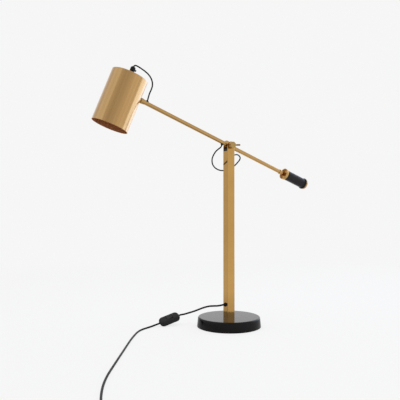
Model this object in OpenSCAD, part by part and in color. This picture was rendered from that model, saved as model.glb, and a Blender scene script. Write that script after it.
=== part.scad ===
// Adjustable task lamp: a weighted round base, a square brass column, a balanced arm
// that tilts between the column's ears, a drum shade that turns on the arm's end and
// a counterweight. Millimetres; the origin is the middle of the base's underside,
// +Z is up, and the arm lies in the XZ plane with the shade on the -X side.

/* [Base] */
// Diameter of the base at its foot
base_d = 154; // [130:1:180]
// Diameter of the base at its top edge
base_top_d = 150; // [120:1:178]
// Height of the base
base_h = 24.5; // [20:0.5:36]
// Radius of the cover's top edge
cover_round = 3; // [1.5:0.5:6]
// Thickness of the cover's steel
cover_t = 1; // [0.6:0.1:1.4]
// Thickness of the felt under the base
felt_t = 1.5; // [1:0.5:3]
// Diameter of the counterbore for the column's bolt
base_bore_d = 28; // [24:1:40]
// Depth of that counterbore above the felt
base_bore_depth = 10; // [8:0.5:12]

/* [Column] */
// Width of the square column
column_w = 20; // [18:0.5:26]
// Wall of the column
column_wall = 1.5; // [1:0.1:2]
// Radius of the column's long edges
column_edge = 0.8; // [0.5:0.1:1.2]
// Height of the pivot above the floor
pivot_z = 437; // [380:1:520]
// How far the side walls are cut down below the pivot
slot_drop = 13.5; // [12.5:0.5:20]
// Radius of the ears' tops
ear_r = 9; // [8:0.5:9.5]
// Height of the front ear's arc centre above the pivot
ear_rise = 0.5; // [0:0.5:3]
// Height of the back ear's arc centre above the pivot
back_rise = 4.5; // [0:0.5:5]
// Height of the stop on the shade's side above the cut wall
stop_h = 6; // [2:0.5:6]
// Height of the mains cord's exit above the floor
mains_exit_z = 53.6; // [45:0.2:90]
// Height of the upper cord's entry below the pivot
loop_entry_drop = 21.8; // [20:0.2:40]
// Offset of the upper cord's entry from the column's middle
loop_entry_y = 3.5; // [0:0.5:4]

/* [Arm] */
// Slope of the arm at rest, shade end up, degrees
arm_slope = 21; // [0:1:30]
// Diameter of the arm's tube
arm_d = 9.5; // [9:0.1:10.5]
// Wall of the arm's tube
arm_wall = 1; // [0.8:0.1:1.2]
// Distance from the pivot to the shade's axis
shade_reach = 290.8; // [260:0.2:320]
// Distance from the pivot to the arm's tail end
tail_reach = 165.5; // [140:0.5:200]
// Distance from the pivot to the cord hole under the arm
loop_hole_reach = 19; // [17.5:0.5:25]
// Distance from the shade's wall to the cord hole on top of the arm
head_hole_gap = 16.8; // [16.6:0.2:26]

/* [Pivot] */
// Diameter of the pivot bolt
bolt_d = 5; // [4:0.5:6]
// Diameter of the barrel that carries the arm
barrel_d = 13; // [12.5:0.5:14]
// Thickness of the friction washers
friction_t = 0.7; // [0.5:0.1:1.2]
// Diameter of the lever nut
nut_d = 16; // [12:0.5:18]
// Length of the lever nut
nut_l = 9.5; // [8:0.5:12]
// Reach of the lever from the bolt's axis
lever_l = 22; // [16:0.5:35]
// Diameter of the lever
lever_d = 4.2; // [3:0.2:5]
// Rise of the lever at rest, degrees
lever_rise = 4; // [0:1:30]

/* [Shade] */
// Outer diameter of the shade
shade_d = 83; // [76:0.5:100]
// Length of the shade
shade_l = 120.5; // [112:0.5:150]
// Height of the shade's top above the arm's axis
shade_above = 38.3; // [30:0.1:60]
// Wall of the shade
shade_wall = 1.2; // [0.8:0.1:1.6]
// Radius of the shade's top edge
shade_round = 1.5; // [1:0.5:4]
// Turn of the shade about the arm at rest, degrees
head_roll = 5.5; // [0:0.5:20]
// Diameter of the collar on the arm's end
collar_d = 13; // [12:0.5:16]
// Length of that collar
collar_l = 10.8; // [9:0.2:11]
// Height of the cord grip above the shade
grip_h = 21.6; // [20:0.2:30]
// Diameter of the cord grip's upper body
grip_d = 11.2; // [9:0.2:13]

/* [Lampholder] */
// Diameter of the lampholder
holder_d = 27; // [25:0.5:30]
// Length of the lampholder's cap
holder_cap_l = 17; // [15:0.5:20]
// Length of the lampholder's body
holder_body_l = 28; // [25.5:0.5:32]
// Diameter of the threaded nipple
nipple_d = 10; // [9:0.5:11]
// Diameter of the bulb's screw cap
bulb_cap_d = 13.8; // [13.4:0.1:14.2]
// Diameter of the bulb
bulb_d = 45; // [40:1:50]
// Length of the bulb's glass
bulb_glass_l = 54; // [50:1:60]

/* [Counterweight] */
// Diameter of the weight's black body
weight_d = 25; // [24:0.5:27]
// Length of the black body
weight_l = 59.6; // [30:0.1:80]
// Distance from the arm's tail end to the cup
weight_gap = 10.9; // [8:0.1:30]
// Diameter of the brass cup and of the black flange
cup_d = 28.6; // [27.6:0.2:36]
// Length of the cup's rim
cup_l = 7; // [4:0.5:10]
// Depth of the cup's recess
cup_depth = 4.7; // [3:0.1:8]
// Length of the black flange
flange_l = 3.5; // [2.5:0.5:8]
// Diameter of the brass end cap
cap_d = 26.4; // [18:0.2:27.4]
// Length of the brass end cap
cap_l = 5.5; // [5:0.5:12]
// Diameter of the ring on the arm's tail
ferrule_d = 11.8; // [11.4:0.2:14]

/* [Cords] */
// Diameter of the mains cord
mains_d = 4.2; // [3.8:0.1:4.4]
// Diameter of the cords on the arm
arm_cord_d = 3.2; // [2.8:0.1:3.4]
// Turns of the stored coil
coil_turns = 6.3; // [2.3:1:6.3]
// Radius of the coil's innermost turn
coil_r_in = 17; // [16:0.5:24]
// Step between the coil's turns
coil_step = 4.7; // [4.7:0.1:6]
// Length of the in-line switch
switch_l = 53; // [50:1:60]
// Width of the in-line switch
switch_w = 25; // [24:1:34]
// Height of the in-line switch
switch_h = 15; // [15:0.5:22]
// Thickness of the plug
plug_t = 13.6; // [13.6:0.2:16]
// Length of the plug's body
plug_l = 34; // [30:1:40]
// Spacing of the plug's pins
pin_gap = 19; // [17:0.5:19.5]
// Diameter of the plug's pins
pin_d = 4; // [3.6:0.1:4.8]
// Length of the plug's pins
pin_l = 19; // [15:1:22]

/* [Hidden] */

// Clearances: parts that slide together, parts that turn, and parts set by hand
fit = 0.05;
run = 0.05;
loose = 0.2;

brass = [0.75, 0.60, 0.35];
dark_brass = [0.55, 0.40, 0.24];
steel = [0.62, 0.63, 0.65];
iron = [0.25, 0.25, 0.26];
black = [0.13, 0.12, 0.12];
ceramic = [0.90, 0.89, 0.86];
felt = [0.10, 0.10, 0.10];
glass = [0.95, 0.95, 0.92, 0.6];

rim_lift = 0.8;
stud_d = 8;
stud_washer_d = 22;
stud_washer_t = 1.6;
stud_head_af = 13;
stud_head_h = 5;
foot_h = 18;
foot_thread = 14;
column_in = column_w - 2 * column_wall;
bore_top = felt_t + base_bore_depth;

slot_z = pivot_z - slot_drop;
ear_foot = pivot_z - 6;
stop_top = slot_z + stop_h;
barrel_l = column_in - 2 * (friction_t + run);
ear_washer_t = 1;
ear_washer_d = 13;
bolt_head_d = 10;
bolt_head_h = 3.4;
nut_y = column_w / 2 + ear_washer_t + run;
lever_y = nut_y + nut_l / 2;
lever_seat = 3.6;

grommet_lip = 1.6;
mains_hole_d = mains_d + 3;
cord_hole_d = arm_cord_d + 2.4;
mains_dome = 4.5;
cord_dome = 3;
arm_flange = 1.8;
cable_in = 0.2;

shade_r = shade_d / 2;
swivel_gap = 0.1;
swivel_t = 1.8;
swivel_d = 12;
inner_washer_t = 1.6;
swivel_bolt_d = 5;
swivel_head_d = 9;
swivel_head_h = 3;
collar_x = -(shade_reach - shade_r - swivel_t - swivel_gap);
collar_wall = 2.2;
arm_head_x = collar_x + collar_wall + fit;
head_hole_x = -(shade_reach - shade_r - head_hole_gap);
arm_in_d = arm_d - 2 * arm_wall;
arm_plug_l = 9;
bush_flange = 1.2;

grip_collar_d = 12.6;
grip_collar_h = 9;
grip_neck_d = 8.4;
grip_neck_h = 2.5;
grip_taper_h = 2.5;
grip_mouth = 3.2;
grip_mouth_d = arm_cord_d + 1.6;
grip_end_d = 6.8;
grip_screw_d = 3;
grip_screw_out = 3;
nipple_bore = 6.4;
nipple_up = 7;
nut_af = 15;
nut_h = 3.2;
holder_z = shade_above - shade_wall - nut_h - fit;
holder_wall = 1.5;
holder_top_t = 3;
thread_wall = 0.6;
thread_up = 4;
thread_l = 21;
holder_split = holder_z - holder_cap_l;
base_disc_t = 3;
bulb_top = holder_split - thread_up - 1;
bulb_cap_l = 24;
glass_t = 0.9;
glass_top = bulb_top - bulb_cap_l;
filament_d = 1.6;
filament_l = 26;
filament_ring = 7;

ferrule_on = 3.5;
ferrule_out = 2.5;
neck_d = 10;
rod_d = 8;
rod_in = 11;
cup_x = tail_reach + weight_gap;
body_x = cup_x + cup_l;
barrel_end = body_x + 5;
flange_x = body_x + weight_l;
cap_x = flange_x + flange_l;
cup_wall = 2;
sleeve_wall = 1.6;
cap_hole = 3;

switch_at = [-120.1, 81.4, 14.5];
switch_tilt = 14.8;
switch_roll = 25;
switch_wall = 1.8;
switch_corner = 10;
switch_edge = 6;
window_l = 16;
window_w = 12;
rocker_l = 14.4;
rocker_w = 11.2;
rocker_tilt = -7;
axle_d = 2.4;
axle_z = 4.4;
cheek_t = 1.8;
cord_hole = 0.1;
screw_x = switch_l / 2 - 7.5;
screw_d = 2.8;
screw_head_d = 5;
screw_head_h = 1.8;

coil_at = [-430, -410];
coil_start = 162;
coil_rings = 24;
plug_relief_l = 20;
plug_back_w = 18;
plug_front_w = 26;
pin_in = 10;

// A rounded square, used for the column and what fits in it
module soft_square(w, r) {
    square([w, w - 2 * r], center = true);
    square([w - 2 * r, w], center = true);
    for (x = [-1, 1], y = [-1, 1]) translate([x * (w / 2 - r), y * (w / 2 - r)]) circle(r, $fn = 24);
}

// A rounded rectangle, l along X and w along Y
module soft_rect(l, w, r) {
    square([l, w - 2 * r], center = true);
    square([l - 2 * r, w], center = true);
    for (x = [-1, 1], y = [-1, 1]) translate([x * (l / 2 - r), y * (w / 2 - r)]) circle(r, $fn = 40);
}

// A piece turned about Z from its half outline, given as [radius, height]
module turned(outline, fn = 64) rotate_extrude($fn = fn) polygon(outline);

module ring(d_out, d_in, h) difference() {
    cylinder(d = d_out, h = h, $fn = 64);
    translate([0, 0, -1]) cylinder(d = d_in, h = h + 2, $fn = 48);
}

// Places of the moving groups at rest
module on_arm() translate([0, 0, pivot_z]) rotate([0, arm_slope, 0]) children();
module on_head() on_arm() translate([-shade_reach, 0, 0]) rotate([head_roll, 0, 0]) children();
module along_arm(x) on_arm() translate([x, 0, 0]) rotate([0, 90, 0]) children();
module in_switch() translate(switch_at) rotate([0, -switch_tilt, 0]) rotate([switch_roll, 0, 0]) children();

function arc(c, r, a0, a1, n) = [for (i = [0 : n]) let (a = a0 + (a1 - a0) * i / n) c + r * [cos(a), sin(a)]];

// The base's half outline, drawn in by some distance: its side is tangent to the top edge's arc
base_arc = [base_top_d / 2 - cover_round, base_h - cover_round];
base_lean = acos(cover_round / norm([base_d / 2 - base_arc[0], base_arc[1]]))
    - atan2(base_arc[1], base_d / 2 - base_arc[0]);
function base_outline(inset, foot) = let (
    r = max(cover_round - inset, 0.3),
    c = base_arc - (r - cover_round + inset) * [1, 1],
    side = base_arc[0] + (cover_round - inset) / cos(base_lean) + (base_arc[1] - foot) * tan(base_lean))
    concat([[0, foot], [side, foot]], arc(c, r, base_lean, 90, 6), [[0, base_h - inset]]);

module base_cover() color(black) difference() {
    turned(base_outline(0, rim_lift), 128);
    turned(base_outline(cover_t, rim_lift - 1), 128);
    translate([0, 0, base_h / 2]) cylinder(d = stud_d + 2 * loose, h = base_h, $fn = 48);
}

module base_weight() color(iron) difference() {
    turned(base_outline(cover_t + loose, felt_t), 128);
    translate([0, 0, -1]) cylinder(d = stud_d + 2 * loose, h = base_h + 2, $fn = 48);
    translate([0, 0, -1]) cylinder(d = base_bore_d, h = bore_top + 1, $fn = 64);
}

module base_felt() color(felt) cylinder(d = base_d - 2 * (cover_t + 4 * loose), h = felt_t, $fn = 128);

module base_washer() color(steel) translate([0, 0, bore_top - stud_washer_t])
    ring(stud_washer_d, stud_d + 2 * loose, stud_washer_t);

module base_bolt() color(steel) {
    translate([0, 0, bore_top - stud_washer_t - stud_head_h])
        cylinder(d = stud_head_af / cos(30), h = stud_head_h, $fn = 6);
    translate([0, 0, bore_top - stud_washer_t - 1])
        cylinder(d = stud_d, h = base_h + foot_thread - bore_top, $fn = 48);
}

// Threaded block in the column's foot
module column_foot() color(steel) difference() {
    translate([0, 0, base_h]) linear_extrude(foot_h) soft_square(column_in - 2 * fit, column_edge);
    translate([0, 0, base_h - 1]) cylinder(d = stud_d + 2 * fit, h = foot_thread + 1, $fn = 48);
}

// Outline of the column's front and back walls, with the ears round the pivot
module ear_outline(rise) {
    arc_z = pivot_z + rise;
    d = norm([column_w / 2, arc_z - ear_foot]);
    a = acos(ear_r / d) - atan2(arc_z - ear_foot, column_w / 2);
    translate([0, arc_z]) circle(ear_r, $fn = 72);
    translate([-column_w / 2, 0]) square([column_w, ear_foot]);
    polygon([[-column_w / 2, ear_foot], [column_w / 2, ear_foot],
        [ear_r * cos(a), arc_z + ear_r * sin(a)], [-ear_r * cos(a), arc_z + ear_r * sin(a)]]);
}

module column_tube() color(brass) difference() {
    intersection() {
        linear_extrude(2 * pivot_z) soft_square(column_w, column_edge);
        union() {
            rotate([90, 0, 0]) linear_extrude(column_w) ear_outline(ear_rise);
            translate([0, column_w, 0]) rotate([90, 0, 0]) linear_extrude(column_w) ear_outline(back_rise);
        }
        translate([-column_w, -column_w, base_h]) cube([2 * column_w, 2 * column_w, pivot_z]);
    }
    translate([-column_in / 2, -column_in / 2, -1]) cube([column_in, column_in, 2 * pivot_z]);
    translate([-column_w, -column_in / 2, slot_z]) cube([2 * column_w, column_in, pivot_z]);
    translate([0, 0, pivot_z]) rotate([90, 0, 0])
        cylinder(d = bolt_d + 2 * run, h = 2 * column_w, center = true, $fn = 48);
    translate([-column_w, 0, mains_exit_z]) rotate([0, 90, 0])
        cylinder(d = mains_hole_d, h = column_w, $fn = 48);
    translate([0, loop_entry_y, pivot_z - loop_entry_drop]) rotate([0, 90, 0])
        cylinder(d = cord_hole_d, h = column_w, $fn = 48);
}

// Black block that closes the column and stops the arm's downward swing
module column_stop() color(black) {
    w = column_in - 2 * loose;
    translate([0, w / 2, 0]) rotate([90, 0, 0]) linear_extrude(w) polygon([[-column_w / 2, slot_z],
        [-column_w / 2, stop_top], [-4, stop_top], [0, slot_z + min(4.8, stop_h)],
        [column_w / 2, slot_z + 0.5], [column_w / 2, slot_z]]);
    translate([-w / 2, -w / 2, slot_z - 4]) cube([w, w, 5]);
}

// A rubber bush in a wall: a dome outside, a neck in the hole and a lip inside, along +Z from the wall
module bush(hole_d, cord_d, wall, dome) difference() {
    flange = hole_d + 2.8;
    turned([[0, dome], [hole_d / 2 - 0.4, dome], [flange / 2 - 0.5, 1.4], [flange / 2, 0.8], [flange / 2, 0],
        [hole_d / 2 - fit, 0], [hole_d / 2 - fit, -wall], [flange / 2 - 0.6, -wall],
        [hole_d / 2, -wall - grommet_lip], [0, -wall - grommet_lip]], 48);
    translate([0, 0, -wall - grommet_lip - 1])
        cylinder(d = cord_d + 2 * fit, h = dome + wall + grommet_lip + 2, $fn = 32);
}

module mains_grommet() color(black) translate([-column_w / 2, 0, mains_exit_z]) rotate([0, -90, 0])
    bush(mains_hole_d, mains_d, column_wall, mains_dome);

module column_grommet() color(black) translate([column_w / 2, loop_entry_y, pivot_z - loop_entry_drop])
    rotate([0, 90, 0])
    bush(cord_hole_d, arm_cord_d, column_wall, cord_dome);

// Mains cable inside the column, up to the splice
splice_z = 200;
splice_l = 26;
module lower_cable() color(black) {
    translate([-column_w / 2 - mains_dome, 0, mains_exit_z]) rotate([0, 90, 0])
        cylinder(d = mains_d, h = column_w / 2 + mains_dome, $fn = 32);
    translate([0, 0, mains_exit_z]) sphere(d = mains_d, $fn = 32);
    translate([0, 0, mains_exit_z]) cylinder(d = mains_d, h = splice_z - mains_exit_z, $fn = 32);
}

module splice_block() color(ceramic) translate([0, 0, splice_z]) linear_extrude(splice_l)
    soft_square(column_in - 5, 2);

module upper_cable() color(black) {
    top = pivot_z - loop_entry_drop;
    translate([0, loop_entry_y, splice_z + splice_l])
        cylinder(d = arm_cord_d, h = top - splice_z - splice_l, $fn = 32);
    translate([0, loop_entry_y, top]) sphere(d = arm_cord_d, $fn = 32);
    translate([0, loop_entry_y, top]) rotate([0, 90, 0])
        cylinder(d = arm_cord_d, h = column_w / 2 + cord_dome, $fn = 32);
}

// Pivot: the bolt's head is at the back, its thread ends in the lever nut in front
module pivot_bolt() color(dark_brass) translate([0, column_w / 2 + ear_washer_t, pivot_z])
    rotate([90, 0, 0]) {
    cylinder(d = bolt_d, h = column_w + 2 * ear_washer_t + nut_l - 2.5, $fn = 48);
    mirror([0, 0, 1]) turned([[0, 0], [bolt_head_d / 2, 0], [bolt_head_d / 2, bolt_head_h * 0.4],
        [bolt_head_d * 0.4, bolt_head_h * 0.8], [bolt_head_d * 0.2, bolt_head_h], [0, bolt_head_h]], 48);
}

module pivot_washers() color(brass) for (y = [-column_w / 2, column_w / 2 + ear_washer_t])
    translate([0, y, pivot_z]) rotate([90, 0, 0]) ring(ear_washer_d, bolt_d + 2 * run, ear_washer_t);

module friction_washers() color(black) for (y = [-column_in / 2 + friction_t, column_in / 2])
    translate([0, y, pivot_z]) rotate([90, 0, 0]) ring(barrel_d - 1, bolt_d + 2 * run, friction_t);

// The nut's far end is closed over the bolt
module lever_nut() color(brass) difference() {
    translate([0, -nut_y, pivot_z]) rotate([90, 0, 0])
        turned([[0, 0], [nut_d / 2, 0], [nut_d / 2, nut_l - 1.5],
        [nut_d / 2 - 1.5, nut_l], [0, nut_l]], 72);
    translate([0, -nut_y + 1, pivot_z]) rotate([90, 0, 0])
        cylinder(d = bolt_d + 2 * run, h = nut_l - 0.8, $fn = 48);
    translate([0, -lever_y, pivot_z]) rotate([0, 90 - lever_rise, 0]) translate([0, 0, lever_seat])
        cylinder(d = lever_d + 2 * fit, h = nut_d, $fn = 32);
}

module lever() color(dark_brass) translate([0, -lever_y, pivot_z]) rotate([0, 90 - lever_rise, 0]) {
    translate([0, 0, lever_seat]) cylinder(d = lever_d, h = lever_l - lever_seat - lever_d / 2, $fn = 32);
    translate([0, 0, lever_l - lever_d / 2]) sphere(d = lever_d, $fn = 32);
}

module pivot_barrel() color(brass) difference() {
    on_arm() rotate([90, 0, 0]) cylinder(d = barrel_d, h = barrel_l, center = true, $fn = 72);
    along_arm(-barrel_d) cylinder(d = arm_d + 2 * fit, h = 2 * barrel_d, $fn = 64);
    on_arm() rotate([90, 0, 0]) cylinder(d = bolt_d + 2 * run, h = 2 * barrel_l, center = true, $fn = 48);
}

module arm_tube() color(brass) difference() {
    along_arm(arm_head_x) cylinder(d = arm_d, h = tail_reach - arm_head_x, $fn = 64);
    along_arm(arm_head_x - 1) cylinder(d = arm_in_d, h = tail_reach - arm_head_x + 2, $fn = 48);
    on_arm() rotate([90, 0, 0]) cylinder(d = bolt_d + 2 * run, h = 2 * arm_d, center = true, $fn = 48);
    on_arm() translate([-loop_hole_reach, 0, -arm_d]) cylinder(d = cord_hole_d - 0.6, h = arm_d, $fn = 48);
    on_arm() translate([head_hole_x, 0, 0]) cylinder(d = cord_hole_d - 0.6, h = arm_d, $fn = 48);
}

// A bush on the round arm, along +Z from the arm's axis
module arm_bush() difference() {
    hole = cord_hole_d - 0.6;
    turned([[0, arm_d / 2 + arm_flange], [hole / 2, arm_d / 2 + arm_flange],
        [hole / 2 + bush_flange, arm_d / 2 + 0.6],
        [hole / 2 + bush_flange, arm_d / 2 - 2.2], [0, arm_d / 2 - 2.2]], 48);
    difference() {
        rotate([0, 90, 0]) cylinder(d = arm_d + 0.04, h = 20, center = true, $fn = 64);
        cylinder(d = hole - 2 * fit, h = arm_d, $fn = 48);
    }
    cylinder(d = arm_cord_d + 2 * fit, h = arm_d, $fn = 32);
}

module arm_grommet() color(black) on_arm() translate([-loop_hole_reach, 0, 0]) rotate([180, 0, 0]) arm_bush();

module head_grommet() color(black) on_arm() translate([head_hole_x, 0, 0]) arm_bush();

module arm_cable() color(black) on_arm() {
    out = arm_d / 2 + arm_flange;
    translate([head_hole_x, 0, 0]) rotate([0, 90, 0])
        cylinder(d = arm_cord_d, h = -loop_hole_reach - head_hole_x, $fn = 32);
    translate([head_hole_x, 0, 0]) sphere(d = arm_cord_d, $fn = 32);
    translate([-loop_hole_reach, 0, 0]) sphere(d = arm_cord_d, $fn = 32);
    translate([head_hole_x, 0, 0]) cylinder(d = arm_cord_d, h = out, $fn = 32);
    translate([-loop_hole_reach, 0, -out]) cylinder(d = arm_cord_d, h = out, $fn = 32);
}

// Collar on the arm's end; the shade turns against its flat face
module end_collar() color(brass) difference() {
    along_arm(collar_x) turned([[0, 0], [collar_d / 2 - 0.5, 0], [collar_d / 2, 0.5], [collar_d / 2 - 0.3, 3],
        [arm_d / 2 + 0.5, collar_l - 0.4], [arm_d / 2 + 0.3, collar_l], [0, collar_l]], 72);
    along_arm(arm_head_x - fit) cylinder(d = arm_d + 2 * fit, h = collar_l, $fn = 64);
    along_arm(collar_x - 1) cylinder(d = swivel_bolt_d + 2 * fit, h = collar_l, $fn = 40);
}

module arm_plug() color(steel) difference() {
    along_arm(arm_head_x) cylinder(d = arm_in_d - 2 * fit, h = arm_plug_l, $fn = 48);
    along_arm(arm_head_x - 1) cylinder(d = swivel_bolt_d + 2 * fit, h = arm_plug_l, $fn = 40);
}

swivel_head_x = -(shade_reach - shade_r + shade_wall + inner_washer_t + swivel_gap);
module swivel_bolt() color(steel) difference() {
    union() {
        along_arm(swivel_head_x)
            cylinder(d = swivel_bolt_d, h = arm_head_x + arm_plug_l - 2 - swivel_head_x, $fn = 40);
        along_arm(swivel_head_x - swivel_head_h)
            turned([[0, 0], [swivel_head_d / 2 - 1, 0], [swivel_head_d / 2, 1.2],
            [swivel_head_d / 2, swivel_head_h], [0, swivel_head_h]], 48);
    }
    along_arm(swivel_head_x - swivel_head_h - 1) cylinder(d = 3, h = 2.6, $fn = 6);
}

// Saddle washers outside and inside the shade's wall
module swivel_washers() color(dark_brass) on_head() {
    difference() {
        translate([shade_r - 2, 0, 0]) rotate([0, 90, 0]) cylinder(d = swivel_d, h = swivel_t + 2, $fn = 64);
        cylinder(r = shade_r + 0.03, h = 2 * swivel_d, center = true, $fn = 128);
        rotate([0, 90, 0]) cylinder(d = swivel_bolt_d + 2 * run, h = shade_d, $fn = 40);
    }
    difference() {
        intersection() {
            translate([shade_r - shade_wall - inner_washer_t, 0, 0]) rotate([0, 90, 0])
                cylinder(d = swivel_d, h = 4, $fn = 64);
            cylinder(r = shade_r - shade_wall - 0.03, h = 2 * swivel_d, center = true, $fn = 128);
        }
        rotate([0, 90, 0]) cylinder(d = swivel_bolt_d + 2 * run, h = shade_d, $fn = 40);
    }
}

// Half outline of the shade's outside, drawn in by some distance
function shade_outline(inset, foot) = let (r = max(shade_round - inset, 0.2)) concat(
    [[0, foot], [shade_r - inset, foot]], arc([shade_r - inset - r, shade_above - inset - r], r, 0, 90, 6),
    [[0, shade_above - inset]]);

module shade() color(brass) difference() {
    on_head() turned(shade_outline(0, shade_above - shade_l), 128);
    on_head() turned(shade_outline(shade_wall, shade_above - shade_l - 1), 128);
    on_head() translate([0, 0, shade_above - 10]) cylinder(d = nipple_d + 2 * fit, h = 20, $fn = 48);
    on_head() rotate([0, 90, 0]) cylinder(d = swivel_bolt_d + 2 * run, h = shade_d, $fn = 40);
}

nipple_low = holder_z - holder_top_t - 2;
module nipple() color(brass) on_head() translate([0, 0, nipple_low])
    ring(nipple_d, nipple_bore, shade_above + nipple_up - nipple_low);

module nipple_nut() color(steel) on_head() translate([0, 0, shade_above - shade_wall - nut_h]) difference() {
    cylinder(d = nut_af / cos(30), h = nut_h, $fn = 6);
    translate([0, 0, -1]) cylinder(d = nipple_d + 2 * fit, h = nut_h + 2, $fn = 48);
}

// Cord grip on the shade's crown: a collar on the nipple, a neck and the clamping body
grip_body_z = grip_collar_h + grip_neck_h;
screw_z = (grip_body_z + grip_h - grip_taper_h) / 2;
module cord_grip() color(black) on_head() translate([0, 0, shade_above]) difference() {
    turned([[0, 0], [grip_collar_d / 2, 0], [grip_collar_d / 2, grip_collar_h - 1.5],
        [grip_neck_d / 2, grip_collar_h],
        [grip_neck_d / 2, grip_body_z - 0.8], [grip_d / 2, grip_body_z], [grip_d / 2, grip_h - grip_taper_h],
        [grip_end_d / 2, grip_h], [0, grip_h]], 56);
    translate([0, 0, -1]) cylinder(d = nipple_d + 2 * fit, h = nipple_up + 1.3, $fn = 48);
    cylinder(d = arm_cord_d + 2 * fit, h = grip_h + 1, $fn = 32);
    translate([0, 0, grip_h - grip_mouth]) cylinder(d = grip_mouth_d, h = grip_mouth + 1, $fn = 32);
    translate([arm_cord_d / 2 + loose, 0, screw_z]) rotate([0, 90, 0])
        cylinder(d = grip_screw_d + 2 * fit, h = grip_d, $fn = 32);
}

module grip_screw() color(black) on_head() translate([arm_cord_d / 2 + loose, 0, shade_above + screw_z])
    rotate([0, 90, 0]) {
    reach = grip_d / 2 - arm_cord_d / 2 - loose;
    cylinder(d = grip_screw_d, h = reach + 0.5, $fn = 32);
    translate([0, 0, reach + 0.2]) cylinder(d = grip_screw_d + 1.2, h = grip_screw_out - 0.2, $fn = 32);
}

module head_cable() color(black) on_head() translate([0, 0, holder_split + 6])
    cylinder(d = arm_cord_d, h = shade_above + grip_h - grip_mouth - holder_split - 6, $fn = 32);

// Lampholder, bulb cap down from its threaded cap
module holder_cap() color(black) on_head() difference() {
    translate([0, 0, holder_split]) turned([[0, 0], [holder_d / 2, 0], [holder_d / 2, holder_cap_l - 5],
        [holder_d / 2 - 1.2, holder_cap_l - 2], [holder_d / 2 - 4.5, holder_cap_l], [0, holder_cap_l]], 64);
    translate([0, 0, holder_split - 1])
        cylinder(d = holder_d - 2 * holder_wall - 2, h = holder_cap_l - holder_top_t - 1, $fn = 64);
    translate([0, 0, holder_split]) cylinder(d = nipple_d + 2 * fit, h = holder_cap_l + 1, $fn = 48);
}

module holder_body() color(black) on_head() translate([0, 0, holder_split - holder_body_l])
    ring(holder_d, holder_d - 2 * holder_wall, holder_body_l - fit);

// Ceramic disc with the centre contact, carried by the holder's body
module holder_base() color(ceramic) on_head() {
    translate([0, 0, holder_split - thread_up])
        cylinder(d = holder_d - 2 * holder_wall - 2 * fit, h = base_disc_t, $fn = 64);
    translate([0, 0, holder_split - thread_up - 0.9]) cylinder(d = 4, h = 2, $fn = 32);
}

module holder_thread() color(brass) on_head() translate([0, 0, holder_split - thread_up - thread_l])
    ring(bulb_cap_d + 2 * (loose + thread_wall), bulb_cap_d + 2 * loose, thread_l);

module bulb_cap() color(steel) on_head() translate([0, 0, glass_top]) turned([[0, 0], [bulb_cap_d / 2 - 1, 0],
    [bulb_cap_d / 2 - 0.3, 1], [bulb_cap_d / 2, 2], [bulb_cap_d / 2, bulb_cap_l - 5],
    [bulb_cap_d / 2 - 2.5, bulb_cap_l - 1.5],
    [2.2, bulb_cap_l - 1.5], [2.2, bulb_cap_l], [0, bulb_cap_l]], 56);

// Half outline of the bulb's glass, below its cap
function bulb_outline(inset) = let (r = bulb_d / 2, c = -(bulb_glass_l - r), a = acos(0.55)) concat(
    [[0, -inset], [bulb_cap_d / 2 - 1.2 - inset, -inset], [bulb_cap_d / 2 - inset, -3]],
    arc([0, c], r - inset, a - 10, -90, 16));

module bulb_glass() color(glass) on_head() translate([0, 0, glass_top]) difference() {
    turned(bulb_outline(0), 72);
    turned(bulb_outline(glass_t), 72);
}

module bulb_filaments() color(felt) on_head() translate([0, 0, glass_top - glass_t]) {
    translate([0, 0, -12]) cylinder(d = 9, h = 12 - fit, $fn = 32);
    translate([0, 0, -12 - filament_l / 3]) cylinder(d = 3, h = filament_l / 3 + 1, $fn = 24);
    for (a = [45 : 90 : 315]) rotate(a) translate([filament_ring, 0, -11 - filament_l]) {
        cylinder(d = filament_d, h = filament_l, $fn = 16);
        translate([-filament_ring + 1, -0.4, filament_l - 1.4]) cube([filament_ring, 0.8, 0.8]);
    }
}

// Tail of the arm and the counterweight
module tail_ferrule() color(brass) difference() {
    l = ferrule_on + ferrule_out;
    along_arm(tail_reach - ferrule_on)
        turned([[0, 0], [ferrule_d / 2 - 0.4, 0], [ferrule_d / 2, 0.4], [ferrule_d / 2, l - 0.4],
        [ferrule_d / 2 - 0.4, l], [0, l]], 64);
    along_arm(tail_reach - ferrule_on - 1) cylinder(d = arm_d + 2 * fit, h = ferrule_on + 1 + fit, $fn = 64);
    along_arm(tail_reach) cylinder(d = arm_in_d, h = 2 * ferrule_out, $fn = 48);
}

module weight_rod() color(brass) along_arm(tail_reach) turned([[0, -rod_in], [arm_in_d / 2 - fit, -rod_in],
    [arm_in_d / 2 - fit, ferrule_out + fit], [neck_d / 2, ferrule_out + fit],
    [neck_d / 2, weight_gap + cup_depth - fit],
    [rod_d / 2, weight_gap + cup_depth - fit], [rod_d / 2, cap_x + cap_hole - fit - tail_reach],
    [0, cap_x + cap_hole - fit - tail_reach]], 64);

// The cup is open towards the arm, and its barrel sits inside the black sleeve
module weight_cup() color(brass) difference() {
    barrel = weight_d / 2 - sleeve_wall - fit;
    bore = cup_d / 2 - cup_wall;
    along_arm(cup_x) turned([[bore + 0.7, 0], [cup_d / 2 - 0.6, 0], [cup_d / 2, 0.6],
        [cup_d / 2, cup_l - 0.6], [cup_d / 2 - 0.6, cup_l],
        [barrel, cup_l], [barrel, barrel_end - cup_x], [0, barrel_end - cup_x], [0, cup_depth],
        [bore, cup_depth], [bore, 0.7]], 80);
    along_arm(cup_x - 1) cylinder(d = rod_d + 2 * fit, h = barrel_end - cup_x + 2, $fn = 48);
}

module weight_core() color(steel) along_arm(barrel_end)
    ring(weight_d - 2 * (sleeve_wall + fit), rod_d + 2 * fit, flange_x - barrel_end);

module weight_sleeve() color(black) along_arm(body_x) ring(weight_d, weight_d - 2 * sleeve_wall, weight_l);

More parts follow.
